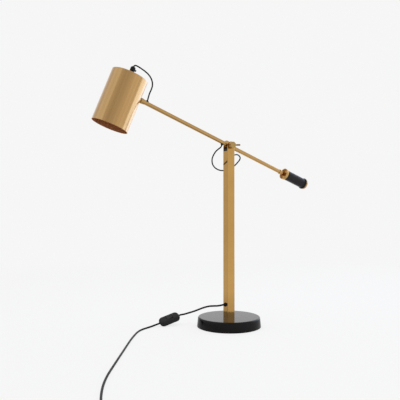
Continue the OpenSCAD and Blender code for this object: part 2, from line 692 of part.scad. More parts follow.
module weight_flange() color(black) difference() {
    along_arm(flange_x) turned([[0, 0], [cup_d / 2 - 0.4, 0], [cup_d / 2, 0.4], [cup_d / 2, flange_l - 0.8],
        [cup_d / 2 - 0.8, flange_l], [0, flange_l]], 80);
    along_arm(flange_x - 1) cylinder(d = rod_d + 2 * fit, h = flange_l + 2, $fn = 48);
}

module weight_cap() color(brass) difference() {
    edge = min(3, cap_l - 2);
    along_arm(cap_x) turned(concat([[0, 0], [cap_d / 2, 0]],
        arc([cap_d / 2 - edge, cap_l - edge], edge, 0, 90, 6), [[0, cap_l]]), 72);
    along_arm(cap_x - 1) cylinder(d = rod_d + 2 * fit, h = cap_hole + 1, $fn = 48);
}

// A tube swept along points: sides to a ring, rings square to the path, ref is never along the path
function unit(v) = v / norm(v);
function heading(p, i) = let (n = len(p) - 1)
    i == 0 ? unit(p[1] - p[0]) : i == n ? unit(p[n] - p[n - 1])
        : unit(unit(p[i + 1] - p[i]) + unit(p[i] - p[i - 1]));

module sweep(p, d, sides, ref) {
    n = len(p);
    rings = [for (i = [0 : n - 1]) let (t = heading(p, i), s = unit(cross(t, ref)), u = cross(s, t))
        for (j = [0 : sides - 1]) let (a = 360 * (j + 0.5) / sides) p[i] + d / 2 * (cos(a) * s + sin(a) * u)];
    walls = [for (i = [0 : n - 2], j = [0 : sides - 1])
        let (a = i * sides + j, b = i * sides + (j + 1) % sides)
        each [[a, a + sides, b], [b, a + sides, b + sides]]];
    first = [for (j = [1 : sides - 2]) [0, j, j + 1]];
    last = [for (j = [1 : sides - 2]) [(n - 1) * sides, (n - 1) * sides + j + 1, (n - 1) * sides + j]];
    polyhedron(points = rings, faces = concat(walls, first, last), convexity = 10);
}

// Cord under the arm, round behind the column and into its far side
loop_route = [[-20.1, 0, 437.7], [-21.3, 0, 434.6], [-24, 1, 431], [-28, 3, 427.5], [-32.5, 6.5, 422.5],
    [-35, 12, 415.5], [-35, 19, 408], [-31.5, 27, 401], [-26, 34, 394], [-19, 39.5, 388.5],
    [-11, 43, 384], [-2.5, 45, 381], [6.5, 46, 379.5], [15, 46, 380], [24, 45, 382], [32, 43.5, 385.5],
    [39.5, 41, 390], [45, 38, 396], [49, 34, 402], [50.5, 29.5, 407], [49, 25, 411], [44, 20, 414.5],
    [37.5, 15.5, 416.7], [31, 11.5, 417.4], [24.7, 7.8, 416.9], [20, 4.9, 415.9], [16, 3.5, 415.2],
    [13, 3.5, 415.2]];

// Cord from the top of the arm to the grip on the shade
head_route = [[-214.7, 0, 526.5], [-213.7, 0, 529.2], [-212, 0, 535.6], [-209.2, 0, 544],
    [-205.4, -0.3, 552.4], [-203, -0.8, 561], [-203.5, -1.3, 569.6], [-207, -1.8, 577.6],
    [-212.6, -2.4, 584.2], [-219.4, -3.1, 589.2], [-226.6, -3.8, 593.2], [-234, -4.6, 596.6],
    [-240.4, -5.2, 599.2], [-244.4, -5.6, 600.2], [-247.4, -5.8, 599.9], [-249.3, -5.8, 598.4],
    [-250.4, -5.7, 596.2], [-251.2, -5.5, 594.2]];

// Mains cord from the column to the switch
mains_route = [[-14.5, 0, 53.6], [-17.2, 0, 53.6], [-20.4, 0.8, 53], [-28, 4.4, 51.6], [-35.5, 11, 50.8],
    [-42, 20, 49.4], [-48, 30, 46.2], [-53, 40, 42], [-57.4, 50.2, 37.3], [-61.8, 59.8, 32.9],
    [-67, 68.2, 29.2], [-73.5, 75, 26], [-81, 79.4, 23.6], [-86, 80.9, 22.9], [-91, 81.4, 22.2],
    [-96.8, 81.4, 20.7]];

// Mains cord from the switch along the floor to the coil
floor_route = [[-143.4, 81.4, 8.3], [-149.1, 81.4, 6.8], [-156.5, 81, 5.2], [-165.5, 79.4, 3.6],
    [-175, 76.4, 2.6], [-184.6, 72.2, 2.2], [-194, 67, 2.1], [-202.6, 60.9, 2.1], [-210.8, 53.6, 2.1],
    [-218.5, 45, 2.1], [-225.5, 36, 2.1], [-232.5, 26, 2.1], [-240, 15.2, 2.1], [-247.5, 4, 2.1],
    [-255, -7.4, 2.1], [-263, -20, 2.1], [-271, -33, 2.1], [-279, -46, 2.1], [-287.5, -60, 2.1],
    [-296, -74, 2.1], [-304.5, -88, 2.1], [-313, -102, 2.1], [-321.5, -116, 2.1], [-330, -130, 2.1],
    [-338.5, -144, 2.1], [-347, -158, 2.1], [-355.5, -172, 2.1], [-364, -186, 2.1], [-372.5, -200, 2.1],
    [-381, -214.2, 2.1], [-389.3, -228.6, 2.1], [-397.4, -243.4, 2.1], [-405.2, -258.4, 2.1],
    [-412.6, -273.6, 2.1], [-419.6, -289, 2.1], [-426.2, -304.6, 2.1], [-432.4, -320.4, 2.1],
    [-438.2, -336.2, 2.1], [-443.6, -352, 2.1], [-448.8, -367, 2.1], [-453.6, -380.4, 2.1],
    [-458.1, -391.9, 2.1], [-459.4, -395.9, 2.1]];

// The coil winds in on the floor, climbs one layer as its spiral turns back, and winds out on top
coil_mid = coil_turns / 2;
function coil_radius(t) = coil_r_in + coil_step * abs(t - coil_mid);
function coil_z(t) = mains_d / 2 + coil_step
    * (t < coil_mid - 0.25 ? 0 : t > coil_mid + 0.25 ? 1 : 2 * (t - coil_mid) + 0.5);
function coil_point(t) = let (a = coil_start + 360 * t)
    [coil_at[0] + coil_radius(t) * cos(a), coil_at[1] + coil_radius(t) * sin(a), coil_z(t)];
function coil_heading(t) = let (a = coil_start + 360 * t) [-sin(a), cos(a), 0];
coil_n = round(coil_turns * coil_rings);
coil_turn_points = [for (i = [0 : coil_n]) coil_point(coil_turns * i / coil_n)];
coil_lead = mains_d + 0.05;
coil_path = concat([coil_point(0) - coil_lead * coil_heading(0)], coil_turn_points,
    [coil_point(coil_turns) + coil_lead * coil_heading(coil_turns)]);
coil_gap = min([for (i = [0 : coil_n - 16]) min([for (j = [i + 16 : coil_n])
    norm(coil_turn_points[i] - coil_turn_points[j])])]) - mains_d;
echo(coil_least_gap = coil_gap);

// The cords on the arm keep to the pivot's height and to the shade's reach
loop_shift = [0, 0, pivot_z - 437];
head_shift = loop_shift + (shade_reach - 290.8) * [-cos(arm_slope), 0, sin(arm_slope)];
module loop_cord() color(black) sweep([for (p = loop_route) p + loop_shift], arm_cord_d, 8, [0, 1, 0]);
module head_cord() color(black) sweep([for (p = head_route) p + head_shift], arm_cord_d, 8, [0, 1, 0]);
module mains_cord() color(black) sweep(mains_route, mains_d, 8, [0, 0, 1]);
module floor_cord() color(black) sweep(floor_route, mains_d, 8, [0, 0, 1]);
module mains_coil() color(black) sweep(coil_path, mains_d, 6, [0, 0, 1]);

// In-line switch: two shells, a rocker on its axle, contacts and screws
module soft_shell(l, w, h, r, edge) hull() for (a = [0 : 30 : 90]) {
    inset = edge * (1 - cos(a));
    linear_extrude(h - edge + edge * sin(a)) soft_rect(l - 2 * inset, w - 2 * inset, r - inset);
}

module switch_shell() difference() {
    soft_shell(switch_l, switch_w, switch_h / 2, switch_corner, switch_edge);
    translate([0, 0, -1]) soft_shell(switch_l - 2 * switch_wall - 4, switch_w - 2 * switch_wall,
        switch_h / 2 + 1 - switch_wall, switch_corner - switch_wall, switch_edge - switch_wall);
    rotate([0, 90, 0]) cylinder(d = mains_d + 2 * cord_hole, h = 2 * switch_l, center = true, $fn = 32);
}

module switch_upper() color(black) in_switch() difference() {
    union() {
        switch_shell();
        for (y = [-1, 1]) translate([-window_l / 2, y * (window_w / 2 + cheek_t / 2) - cheek_t / 2, 2])
            cube([window_l, cheek_t, switch_h / 2 - 3]);
        for (x = [-screw_x, screw_x]) translate([x, 0, 3]) cylinder(d = 6, h = switch_h / 2 - 4, $fn = 32);
    }
    translate([-window_l / 2, -window_w / 2, 0]) cube([window_l, window_w, switch_h]);
    translate([0, 0, axle_z]) rotate([90, 0, 0])
        cylinder(d = axle_d + 2 * run, h = switch_w - 6, center = true, $fn = 32);
    for (x = [-screw_x, screw_x]) cylinder_at(x, screw_d + 2 * fit, switch_h / 2 - 3);
}

module cylinder_at(x, d, h) translate([x, 0, -1]) cylinder(d = d, h = h + 1, $fn = 32);

module switch_lower() color(black) in_switch() mirror([0, 0, 1]) difference() {
    union() {
        switch_shell();
        for (x = [-screw_x, screw_x]) translate([x, 0, 3]) cylinder(d = 7.5, h = switch_h / 2 - 4, $fn = 32);
    }
    for (x = [-screw_x, screw_x]) translate([x, 0, 0]) {
        translate([0, 0, -1]) cylinder(d = screw_d + 2 * fit, h = switch_h, $fn = 32);
        translate([0, 0, switch_h / 2 - screw_head_h - 0.4])
            cylinder(d = screw_head_d + 2 * fit, h = switch_h, $fn = 32);
    }
}

module switch_screws() color(steel) in_switch() for (x = [-screw_x, screw_x])
    translate([x, 0, -switch_h / 2 + 0.4]) difference() {
    union() {
        cylinder(d = screw_head_d, h = screw_head_h, $fn = 32);
        cylinder(d = screw_d, h = switch_h - 3.5, $fn = 32);
    }
    translate([-screw_head_d / 2, -0.4, -1]) cube([screw_head_d, 0.8, 1.7]);
}

module switch_contacts() color(brass) in_switch() for (x = [-1, 1]) {
    translate([x * 8 - 3.5, -3, -switch_h / 2 + switch_wall]) cube([7, 6, 1.2]);
    translate([x * 8 - 0.6, -3, -switch_h / 2 + switch_wall + 1]) cube([1.2, 6, 3.2]);
}

module rocker() color(black) in_switch() translate([0, 0, axle_z]) rotate([0, rocker_tilt, 0]) {
    crown = switch_h / 2 - axle_z;
    half = rocker_l / 2;
    translate([0, rocker_w / 2, 0]) rotate([90, 0, 0]) linear_extrude(rocker_w)
        polygon([[-half, crown + 1.2], [0, crown + 0.3],
        [half, crown + 1.2], [half - 0.7, 0.4], [3, -2.6], [-3, -2.6], [-half + 0.7, 0.4]]);
    rotate([90, 0, 0]) cylinder(d = axle_d, h = window_w + 2 * cheek_t - 0.4, center = true, $fn = 32);
}

// Two-pin plug lying flat beside the coil, pins along +X
plug_z = plug_t / 2;
coil_end = coil_path[len(coil_path) - 1];
plug_back = coil_end[0] + plug_relief_l;
plug_face = plug_back + plug_l;
module plug_outline() polygon([[0, -plug_back_w / 2 + 4], [4, -plug_back_w / 2],
    [plug_l - 8, -plug_front_w / 2],
    [plug_l, -plug_front_w / 2], [plug_l, plug_front_w / 2], [plug_l - 8, plug_front_w / 2],
    [4, plug_back_w / 2], [0, plug_back_w / 2 - 4]]);

module plug_body() color(black) difference() {
    translate([plug_back, coil_end[1], plug_z - plug_t / 2]) linear_extrude(plug_t) plug_outline();
    for (y = [-1, 1]) translate([plug_face - pin_in, coil_end[1] + y * pin_gap / 2, plug_z])
        rotate([0, 90, 0])
        cylinder(d = pin_d + 2 * fit, h = pin_in + 1, $fn = 40);
}

module plug_pins() color(brass) for (y = [-1, 1])
    translate([plug_face - pin_in + fit, coil_end[1] + y * pin_gap / 2, plug_z])
    rotate([0, 90, 0]) turned([[0, 0], [pin_d / 2, 0], [pin_d / 2, pin_in + pin_l - 1.5],
        [pin_d / 2 - 1, pin_in + pin_l], [0, pin_in + pin_l]], 40);

module plug_relief() color(black) translate([coil_end[0], coil_end[1], coil_end[2]]) rotate([0, 90, 0])
    turned([[0, 0], [mains_d / 2 + 0.5, 0], [mains_d / 2 + 2.6, plug_relief_l], [0, plug_relief_l]], 40);

base_felt();
base_weight();
base_cover();
base_bolt();
base_washer();
column_foot();
column_tube();
column_stop();
mains_grommet();
column_grommet();
lower_cable();
splice_block();
upper_cable();
pivot_bolt();
pivot_washers();
friction_washers();
lever_nut();
lever();
pivot_barrel();
arm_tube();
arm_grommet();
head_grommet();
arm_cable();
end_collar();
arm_plug();
swivel_bolt();
swivel_washers();
shade();
nipple();
nipple_nut();
cord_grip();
grip_screw();
head_cable();
holder_cap();
holder_body();
holder_base();
holder_thread();
bulb_cap();
bulb_glass();
bulb_filaments();
tail_ferrule();
weight_rod();
weight_cup();
weight_core();
weight_sleeve();
weight_flange();
weight_cap();
loop_cord();
head_cord();
mains_cord();
floor_cord();
mains_coil();
switch_lower();
switch_upper();
switch_contacts();
switch_screws();
rocker();
plug_body();
plug_relief();
plug_pins();
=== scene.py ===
import bpy
import bmesh
import math
from mathutils import Matrix, Vector


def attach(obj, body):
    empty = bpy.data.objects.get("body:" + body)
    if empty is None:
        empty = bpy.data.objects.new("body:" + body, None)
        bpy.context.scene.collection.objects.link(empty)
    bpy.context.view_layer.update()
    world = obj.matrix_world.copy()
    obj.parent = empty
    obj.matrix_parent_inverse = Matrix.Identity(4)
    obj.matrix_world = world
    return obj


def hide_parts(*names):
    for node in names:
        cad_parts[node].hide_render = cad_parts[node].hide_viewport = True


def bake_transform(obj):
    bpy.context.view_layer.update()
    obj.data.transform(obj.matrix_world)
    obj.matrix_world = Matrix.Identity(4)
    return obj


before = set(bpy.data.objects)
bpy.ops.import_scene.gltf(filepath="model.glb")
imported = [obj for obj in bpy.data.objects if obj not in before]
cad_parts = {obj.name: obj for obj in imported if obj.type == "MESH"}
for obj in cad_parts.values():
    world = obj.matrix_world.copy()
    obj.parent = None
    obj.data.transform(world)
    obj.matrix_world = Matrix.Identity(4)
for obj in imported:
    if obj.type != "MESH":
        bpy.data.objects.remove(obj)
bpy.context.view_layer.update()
mm = 0.001


def addObject(name, data):
    made = bpy.data.objects.new(name, data)
    bpy.context.scene.collection.objects.link(made)
    return made


# Camera, matched to the photograph's viewing angle

cameraLook = {"position": (-0.7147, -1.1359, 0.2954), "direction": (0.4877, 0.8730, 0.0075), "lens": 49.84,
    "sensor": 36}


def makeCamera(look):
    data = bpy.data.cameras.new("camera")
    camera = addObject("camera", data)
    data.sensor_width = look["sensor"]
    data.lens = look["lens"]
    data.clip_start = 0.01
    data.clip_end = 20
    camera.location = look["position"]
    camera.rotation_euler = Vector(look["direction"]).to_track_quat("-Z", "Y").to_euler()
    bpy.context.scene.camera = camera


makeCamera(cameraLook)
bpy.context.scene.view_settings.view_transform = "Standard"
print("camera set")


# Places of the moving groups at rest: a piece is drawn in its own frame and then put in its place

def turnAbout(axis, degrees):
    return Matrix.Rotation(math.radians(degrees), 4, axis)


def moveBy(x, y, z):
    return Matrix.Translation((x * mm, y * mm, z * mm))


pivotHeight = 437
armSlope = 21
shadeReach = 290.8
shadeTwist = 5.5
plugAt = (-425.75, -441.8, 6.8)
standPlace = Matrix.Identity(4)
armPlace = moveBy(0, 0, pivotHeight) @ turnAbout("Y", armSlope)
headPlace = armPlace @ moveBy(-shadeReach, 0, 0) @ turnAbout("X", shadeTwist)
alongArm = armPlace @ turnAbout("Y", 90)  # z runs along the arm towards the weight
acrossPivot = moveBy(0, 0, pivotHeight) @ turnAbout("X", 90)  # z points at the front
switchPlace = moveBy(-120.1, 81.4, 14.5) @ turnAbout("Y", -14.8) @ turnAbout("X", 25)
leverPlace = moveBy(0, -15.8, pivotHeight) @ turnAbout("Y", 86)
gripScrewPlace = headPlace @ moveBy(1.8, 0, 53.6) @ turnAbout("Y", 90)
mainsExitPlace = moveBy(-10, 0, 53.6) @ turnAbout("Y", -90)
loopEntryPlace = moveBy(10, 3.5, 415.2) @ turnAbout("Y", 90)
plugPlace = moveBy(*plugAt) @ turnAbout("Y", 90)


# Helpers for node trees

def addNode(tree, kind, values=(), **settings):
    node = tree.nodes.new(kind)
    for key, value in settings.items():
        setattr(node, key, value)
    for key, value in dict(values).items():
        if isinstance(value, bpy.types.NodeSocket):
            tree.links.new(value, node.inputs[key])
        else:
            node.inputs[key].default_value = value
    return node


def result(tree, kind, values=(), **settings):
    return addNode(tree, kind, values, **settings).outputs[0]


def calc(tree, operation, first, second=0.0):
    return result(tree, "ShaderNodeMath", {0: first, 1: second}, operation=operation)


def wholeCalc(tree, operation, first, second):
    return result(tree, "FunctionNodeIntegerMath", {0: first, 1: second}, operation=operation)


# Materials: every pattern reads the point in the piece's own frame, so that spun and drawn lines follow it

def localPoint(tree, place):
    spot = addNode(tree, "ShaderNodeTexCoord").outputs["Object"]
    turned = addNode(tree, "ShaderNodeMapping", {"Vector": spot}, vector_type="TEXTURE")
    turned.inputs["Location"].default_value = place.to_translation()
    turned.inputs["Rotation"].default_value = place.to_euler()
    return turned.outputs["Vector"]


def grainPoint(tree, point, grain):
    # spun: lines round z; drawn: lines along z; any other grain is even
    if grain == "spun":
        parts = addNode(tree, "ShaderNodeSeparateXYZ", {0: point}).outputs
        squares = [calc(tree, "POWER", parts[axis], 2.0) for axis in ("X", "Y")]
        wide = calc(tree, "SQRT", calc(tree, "ADD", squares[0], squares[1]))
        turn = calc(tree, "ARCTAN2", parts["Y"], parts["X"])
        return result(tree, "ShaderNodeCombineXYZ",
            {0: wide, 1: parts["Z"], 2: calc(tree, "MULTIPLY", turn, 0.0006)})
    if grain == "drawn":
        squeezed = addNode(tree, "ShaderNodeMapping", {"Vector": point}, vector_type="POINT")
        squeezed.inputs["Scale"].default_value = (1, 1, 0.02)
        return squeezed.outputs["Vector"]
    return point


def noise(tree, point, scale, detail):
    values = {"Vector": point, "Scale": scale, "Detail": detail, "Roughness": 0.55}
    return addNode(tree, "ShaderNodeTexNoise", values).outputs["Fac"]


def remap(tree, value, low, high, newLow, newHigh):
    ends = {1: low, 2: high, 3: newLow, 4: newHigh}
    return result(tree, "ShaderNodeMapRange", {0: value, **ends})


def spread(tree, value, low, high):
    return remap(tree, value, 0.3, 0.7, low, high)


def blendColours(tree, amount, first, second):
    mix = addNode(tree, "ShaderNodeMix", data_type="RGBA")
    tree.links.new(amount, mix.inputs["Factor"])
    mix.inputs["A"].default_value = (*first, 1)
    mix.inputs["B"].default_value = (*second, 1)
    return mix.outputs["Result"]


# each plain socket of the shader, the look's word for it and the value that it has otherwise
finishSockets = (("Metallic", "metal", 0), ("IOR", "ior", 1.5), ("Specular IOR Level", "gloss", 0.5),
    ("Coat Weight", "coat", 0), ("Coat Roughness", "coatRough", 0.1), ("Coat IOR", "coatIor", 1.5),
    ("Sheen Weight", "sheen", 0), ("Transmission Weight", "clear", 0))


def newMaterial(name):
    material = bpy.data.materials.new(name)
    material.use_nodes = True
    return material, material.node_tree, material.node_tree.nodes["Principled BSDF"]


def makeFinish(name, look, place=standPlace):
    material, tree, shader = newMaterial(name)
    point = localPoint(tree, place)
    cloud = noise(tree, grainPoint(tree, point, look.get("cloudGrain")), look.get("cloudScale", 40), 4)
    for socket, key, usual in finishSockets:
        shader.inputs[socket].default_value = look.get(key, usual)
    colour = blendColours(tree, spread(tree, cloud, 0, 1), look["colour"], look["shade"])
    tree.links.new(colour, shader.inputs["Base Color"])
    lines = noise(tree, grainPoint(tree, point, look.get("grain")), look.get("grainScale", 2500), 2)
    rough = look["rough"]
    vary = look.get("roughVary", 0.15) * rough
    uneven = calc(tree, "ADD", spread(tree, cloud, -vary, vary), spread(tree, lines, -vary, vary))
    tree.links.new(calc(tree, "ADD", uneven, rough), shader.inputs["Roughness"])
    bump = addNode(tree, "ShaderNodeBump", {"Height": lines, "Strength": look.get("bump", 0.1),
        "Distance": look.get("depth", 0.00002)})
    tree.links.new(bump.outputs["Normal"], shader.inputs["Normal"])
    if "fine" in look:  # a second, finer relief over the first, as moulded plastic and cast iron have
        tiny = noise(tree, point, look["fine"], 2)
        second = addNode(tree, "ShaderNodeBump", {"Height": tiny, "Strength": look.get("fineBump", 0.15),
            "Distance": look.get("fineDepth", 0.00004), "Normal": bump.outputs["Normal"]})
        tree.links.new(second.outputs["Normal"], shader.inputs["Normal"])
    return material


brassLook = {"colour": (0.640, 0.390, 0.150), "shade": (0.600, 0.360, 0.132), "metal": 1, "rough": 0.24,
    "roughVary": 0.12, "cloudScale": 35, "grainScale": 2600, "bump": 0.05, "depth": 0.00001}
# painted shade: a much darker brass, standing in for the shade on the pivot bolt, the lever and the swivel
# washers at the joints
shadowedBrassLook = {"colour": (0.36, 0.215, 0.085), "shade": (0.27, 0.155, 0.06), "metal": 1, "rough": 0.3,
    "roughVary": 0.2, "cloudScale": 120, "grainScale": 2600, "bump": 0.08, "depth": 0.00002}
steelLook = {"colour": (0.56, 0.57, 0.58), "shade": (0.46, 0.47, 0.48), "metal": 1, "rough": 0.32,
    "cloudScale": 150, "bump": 0.15}

shadeBrass = makeFinish("shadeBrass", {**brassLook, "colour": (0.670, 0.390, 0.130),
    "shade": (0.560, 0.310, 0.088), "cloudGrain": "drawn", "cloudScale": 150, "coat": 1.0,
    "coatRough": 0.12, "coatIor": 1.6, "grain": "spun"}, headPlace)
# painted reflection: the inside and the rim get a redder brass, standing in for the tint that light takes
# between the brass walls; its greater roughness is an unpolished inside
shadeInnerPaintedTint = makeFinish("shadeInnerPaintedTint", {**brassLook, "colour": (0.68, 0.31, 0.135),
    "shade": (0.61, 0.27, 0.115), "rough": 0.5, "grain": "spun"}, headPlace)
armBrass = makeFinish("armBrass", {**brassLook, "grain": "drawn", "rough": 0.26}, alongArm)
weightBrass = makeFinish("weightBrass", {**brassLook, "grain": "spun"}, alongArm)
columnBrass = makeFinish("columnBrass", {**brassLook, "colour": (0.640, 0.375, 0.120),
    "shade": (0.600, 0.345, 0.106), "grain": "drawn", "rough": 0.11, "bump": 0.03})
# painted shade: a darker, greener brass for the pivot's washers, nut and barrel, standing in for the shade
# round the pivot
pivotBrass = makeFinish("pivotBrass", {**brassLook, "colour": (0.54, 0.36, 0.125),
    "shade": (0.47, 0.305, 0.105), "grain": "spun"}, acrossPivot)
# painted shade: the darker brass for the pivot bolt and swivel washers, and below it for the lever
shadowedBrass = makeFinish("shadowedBrass", {**shadowedBrassLook, "grain": "spun"}, acrossPivot)
leverBrass = makeFinish("leverBrass", {**shadowedBrassLook, "grain": "spun"}, leverPlace)
contactBrass = makeFinish("contactBrass", {**brassLook, "colour": (0.60, 0.42, 0.16), "rough": 0.3})
blackEnamel = makeFinish("blackEnamel", {"colour": (0.006, 0.0055, 0.0055), "shade": (0.009, 0.008, 0.0075),
    "rough": 0.15, "roughVary": 0.2, "cloudScale": 60, "gloss": 0.17, "bump": 0.05, "grainScale": 260,
    "depth": 0.00002})
weightBlack = makeFinish("weightBlack", {"colour": (0.014, 0.0115, 0.011), "shade": (0.019, 0.016, 0.015),
    "rough": 0.34, "roughVary": 0.15, "cloudScale": 90, "gloss": 0.2, "grain": "spun", "grainScale": 3000,
    "bump": 0.15, "depth": 0.00002}, alongArm)
blackPlastic = makeFinish("blackPlastic", {"colour": (0.006, 0.006, 0.006), "shade": (0.010, 0.010, 0.010),
    "rough": 0.42, "gloss": 0.2, "cloudScale": 160, "fine": 2200, "fineBump": 0.12, "bump": 0.05})
switchPlastic = makeFinish("switchPlastic", {"colour": (0.012, 0.012, 0.012),
    "shade": (0.016, 0.016, 0.015), "rough": 0.5, "gloss": 0.25, "cloudScale": 110, "fine": 1500,
    "fineBump": 0.2, "bump": 0.05}, switchPlace)
rockerPlastic = makeFinish("rockerPlastic", {"colour": (0.010, 0.010, 0.010),
    "shade": (0.014, 0.014, 0.014), "rough": 0.3, "gloss": 0.4, "cloudScale": 110, "fine": 2500,
    "fineBump": 0.1, "bump": 0.05}, switchPlace)
rubber = makeFinish("rubber", {"colour": (0.006, 0.006, 0.006), "shade": (0.010, 0.0095, 0.0095),
    "rough": 0.6, "gloss": 0.2, "cloudScale": 200, "fine": 1800, "fineBump": 0.3, "bump": 0.05})
fibre = makeFinish("fibre", {"colour": (0.05, 0.035, 0.025), "shade": (0.08, 0.055, 0.04), "rough": 0.8,
    "cloudScale": 700, "fine": 3000, "fineBump": 0.5})
felt = makeFinish("felt", {"colour": (0.012, 0.012, 0.012), "shade": (0.028, 0.028, 0.028), "rough": 0.95,
    "cloudScale": 900, "fine": 1600, "fineBump": 0.9, "fineDepth": 0.0003, "sheen": 0.4})
castIron = makeFinish("castIron", {"colour": (0.05, 0.05, 0.052), "shade": (0.075, 0.073, 0.072),
    "metal": 0.6, "rough": 0.62, "cloudScale": 200, "fine": 900, "fineBump": 0.7, "fineDepth": 0.0002})
steel = makeFinish("steel", steelLook)
ceramic = makeFinish("ceramic", {"colour": (0.78, 0.76, 0.70), "shade": (0.72, 0.70, 0.64), "rough": 0.18,
    "cloudScale": 200, "coat": 0.4, "bump": 0.03})
capMetal = makeFinish("capMetal", {"colour": (0.62, 0.60, 0.55), "shade": (0.55, 0.52, 0.46), "metal": 1,
    "rough": 0.25, "cloudScale": 300, "grain": "spun"}, headPlace)
filament = makeFinish("filament", {"colour": (0.80, 0.52, 0.10), "shade": (0.86, 0.60, 0.16), "rough": 0.5,
    "cloudScale": 1200, "fine": 3000, "fineBump": 0.3})
bulbGlass = makeFinish("bulbGlass", {"colour": (0.97, 0.97, 0.95), "shade": (0.94, 0.94, 0.92),
    "rough": 0.03, "clear": 1, "ior": 1.47, "cloudScale": 60, "bump": 0.02, "grainScale": 200}, headPlace)


def makeCordFinish(name, look):
    # PVC over two cores: a faint lengthwise lay from the cord's own UV, u round it and v along it
    material, tree, shader = newMaterial(name)
    shader.inputs["Specular IOR Level"].default_value = look["gloss"]
    track = addNode(tree, "ShaderNodeUVMap", uv_map="UVMap").outputs["UV"]
    stretched = addNode(tree, "ShaderNodeMapping", {"Vector": track})
    stretched.inputs["Scale"].default_value = (9, 1.2, 1)
    lay = noise(tree, stretched.outputs["Vector"], 3, 3)
    point = addNode(tree, "ShaderNodeTexCoord").outputs["Object"]
    dust = noise(tree, point, 500, 3)
    colour = blendColours(tree, spread(tree, dust, 0, 1), look["colour"], look["shade"])
    tree.links.new(colour, shader.inputs["Base Color"])
    tree.links.new(spread(tree, lay, look["rough"] - 0.06, look["rough"] + 0.08), shader.inputs["Roughness"])
    bump = addNode(tree, "ShaderNodeBump", {"Height": lay, "Strength": 0.25, "Distance": 0.0001})
    tree.links.new(bump.outputs["Normal"], shader.inputs["Normal"])
    return material


cordFinish = makeCordFinish("cordFinish", {"colour": (0.004, 0.004, 0.004),
    "shade": (0.007, 0.0065, 0.0065), "rough": 0.42, "gloss": 0.12})
print("finishes made")


# Meshes

sharpAngle = 35
bevelAngle = 30
largeFlat = 15  # square mm, past which a face is shaded flat


def meshPiece(name, points, faces, place, material):
    mesh = bpy.data.meshes.new(name)
    mesh.from_pydata([place @ (Vector(p) * mm) for p in points], [], faces)
    mesh.validate()
    for face in mesh.polygons:
        face.use_smooth = True
    piece = addObject(name, mesh)
    mesh.materials.append(material)
    return piece


def sharpen(piece):
    mesh = piece.data
    shape = bmesh.new()
    shape.from_mesh(mesh)
    for edge in shape.edges:
        edge.smooth = not (edge.is_manifold and edge.calc_face_angle(0) > math.radians(sharpAngle))
    shape.to_mesh(mesh)
    shape.free()


def applyModifiers(piece):
    graph = bpy.context.evaluated_depsgraph_get()
    made = bpy.data.meshes.new_from_object(piece.evaluated_get(graph), preserve_all_data_layers=True,
        depsgraph=graph)
    old = piece.data
    piece.modifiers.clear()
    piece.data = made
    bpy.data.meshes.remove(old)
    made.name = piece.name


def rounded(corners, closed, steps):
    # an outline from (x, y, rounding) corners; a point close to each rounding keeps the flats flat
    points = []
    count = len(corners)
    for n, corner in enumerate(corners):
        here = Vector(corner[:2])
        edge = corner[2] if len(corner) > 2 else 0
        if edge <= 0 or (not closed and n in (0, count - 1)):
            points.append(here)
            continue
        back = Vector(corners[n - 1][:2]) - here
        ahead = Vector(corners[(n + 1) % count][:2]) - here
        half = (math.pi - back.angle(ahead)) / 2
        cut = min(edge * math.tan(half), back.length * 0.45, ahead.length * 0.45)
        radius = cut / math.tan(half)
        centre = here + (back.normalized() + ahead.normalized()).normalized() * radius / math.cos(half)
        start = here + back.normalized() * cut
        end = here + ahead.normalized() * cut
        first = math.atan2(start.y - centre.y, start.x - centre.x)
        sweep = math.atan2(end.y - centre.y, end.x - centre.x) - first
        sweep = (sweep + math.pi) % (2 * math.pi) - math.pi
        if back.length > 4 * cut:
            points.append(start + back.normalized() * cut * 0.5)
        for k in range(steps + 1):
            turn = first + sweep * k / steps
            points.append(centre + radius * Vector((math.cos(turn), math.sin(turn))))
        if ahead.length > 4 * cut:
            points.append(end + ahead.normalized() * cut * 0.5)
    if closed:
        points.append(points[0].copy())
    return points


# Geometry nodes for turned and repeated pieces: a turned outline has x out from the axis and z along it

def newTree(name, inputs):
    tree = bpy.data.node_groups.new(name, "GeometryNodeTree")
    tree.interface.new_socket("Geometry", in_out="OUTPUT", socket_type="NodeSocketGeometry")
    for label, kind in [("Geometry", "Geometry"), *inputs, ("Material", "Material")]:
        tree.interface.new_socket(label, in_out="INPUT", socket_type="NodeSocket" + kind)
    return tree, tree.nodes.new("NodeGroupInput").outputs


def endTree(tree, geometry, material):
    whole = result(tree, "GeometryNodeRealizeInstances", {"Geometry": geometry})
    painted = result(tree, "GeometryNodeSetMaterial", {"Geometry": whole, "Material": material})
    tree.links.new(painted, tree.nodes.new("NodeGroupOutput").inputs[0])
    return tree


def smoothButCreases(tree, mesh, crease):
    soft = result(tree, "GeometryNodeSetShadeSmooth", {"Geometry": mesh, "Shade Smooth": True}, domain="FACE")
    bend = result(tree, "GeometryNodeInputMeshEdgeAngle")
    hard = result(tree, "FunctionNodeCompare", {0: bend, 1: crease}, operation="GREATER_THAN")
    return result(tree, "GeometryNodeSetShadeSmooth",
        {"Geometry": soft, "Selection": hard, "Shade Smooth": False}, domain="EDGE")


def gridRound(tree, segments, rows):
    # a grid to be rolled up: which step round and which row each point is, and the angle of its step
    grid = result(tree, "GeometryNodeMeshGrid", {"Vertices X": wholeCalc(tree, "ADD", segments, 1),
        "Vertices Y": rows})
    index = result(tree, "GeometryNodeInputIndex")
    step = wholeCalc(tree, "DIVIDE_FLOOR", index, rows)
    row = wholeCalc(tree, "MODULO", index, rows)
    angle = calc(tree, "DIVIDE", calc(tree, "MULTIPLY", step, 2 * math.pi), segments)
    return grid, row, angle


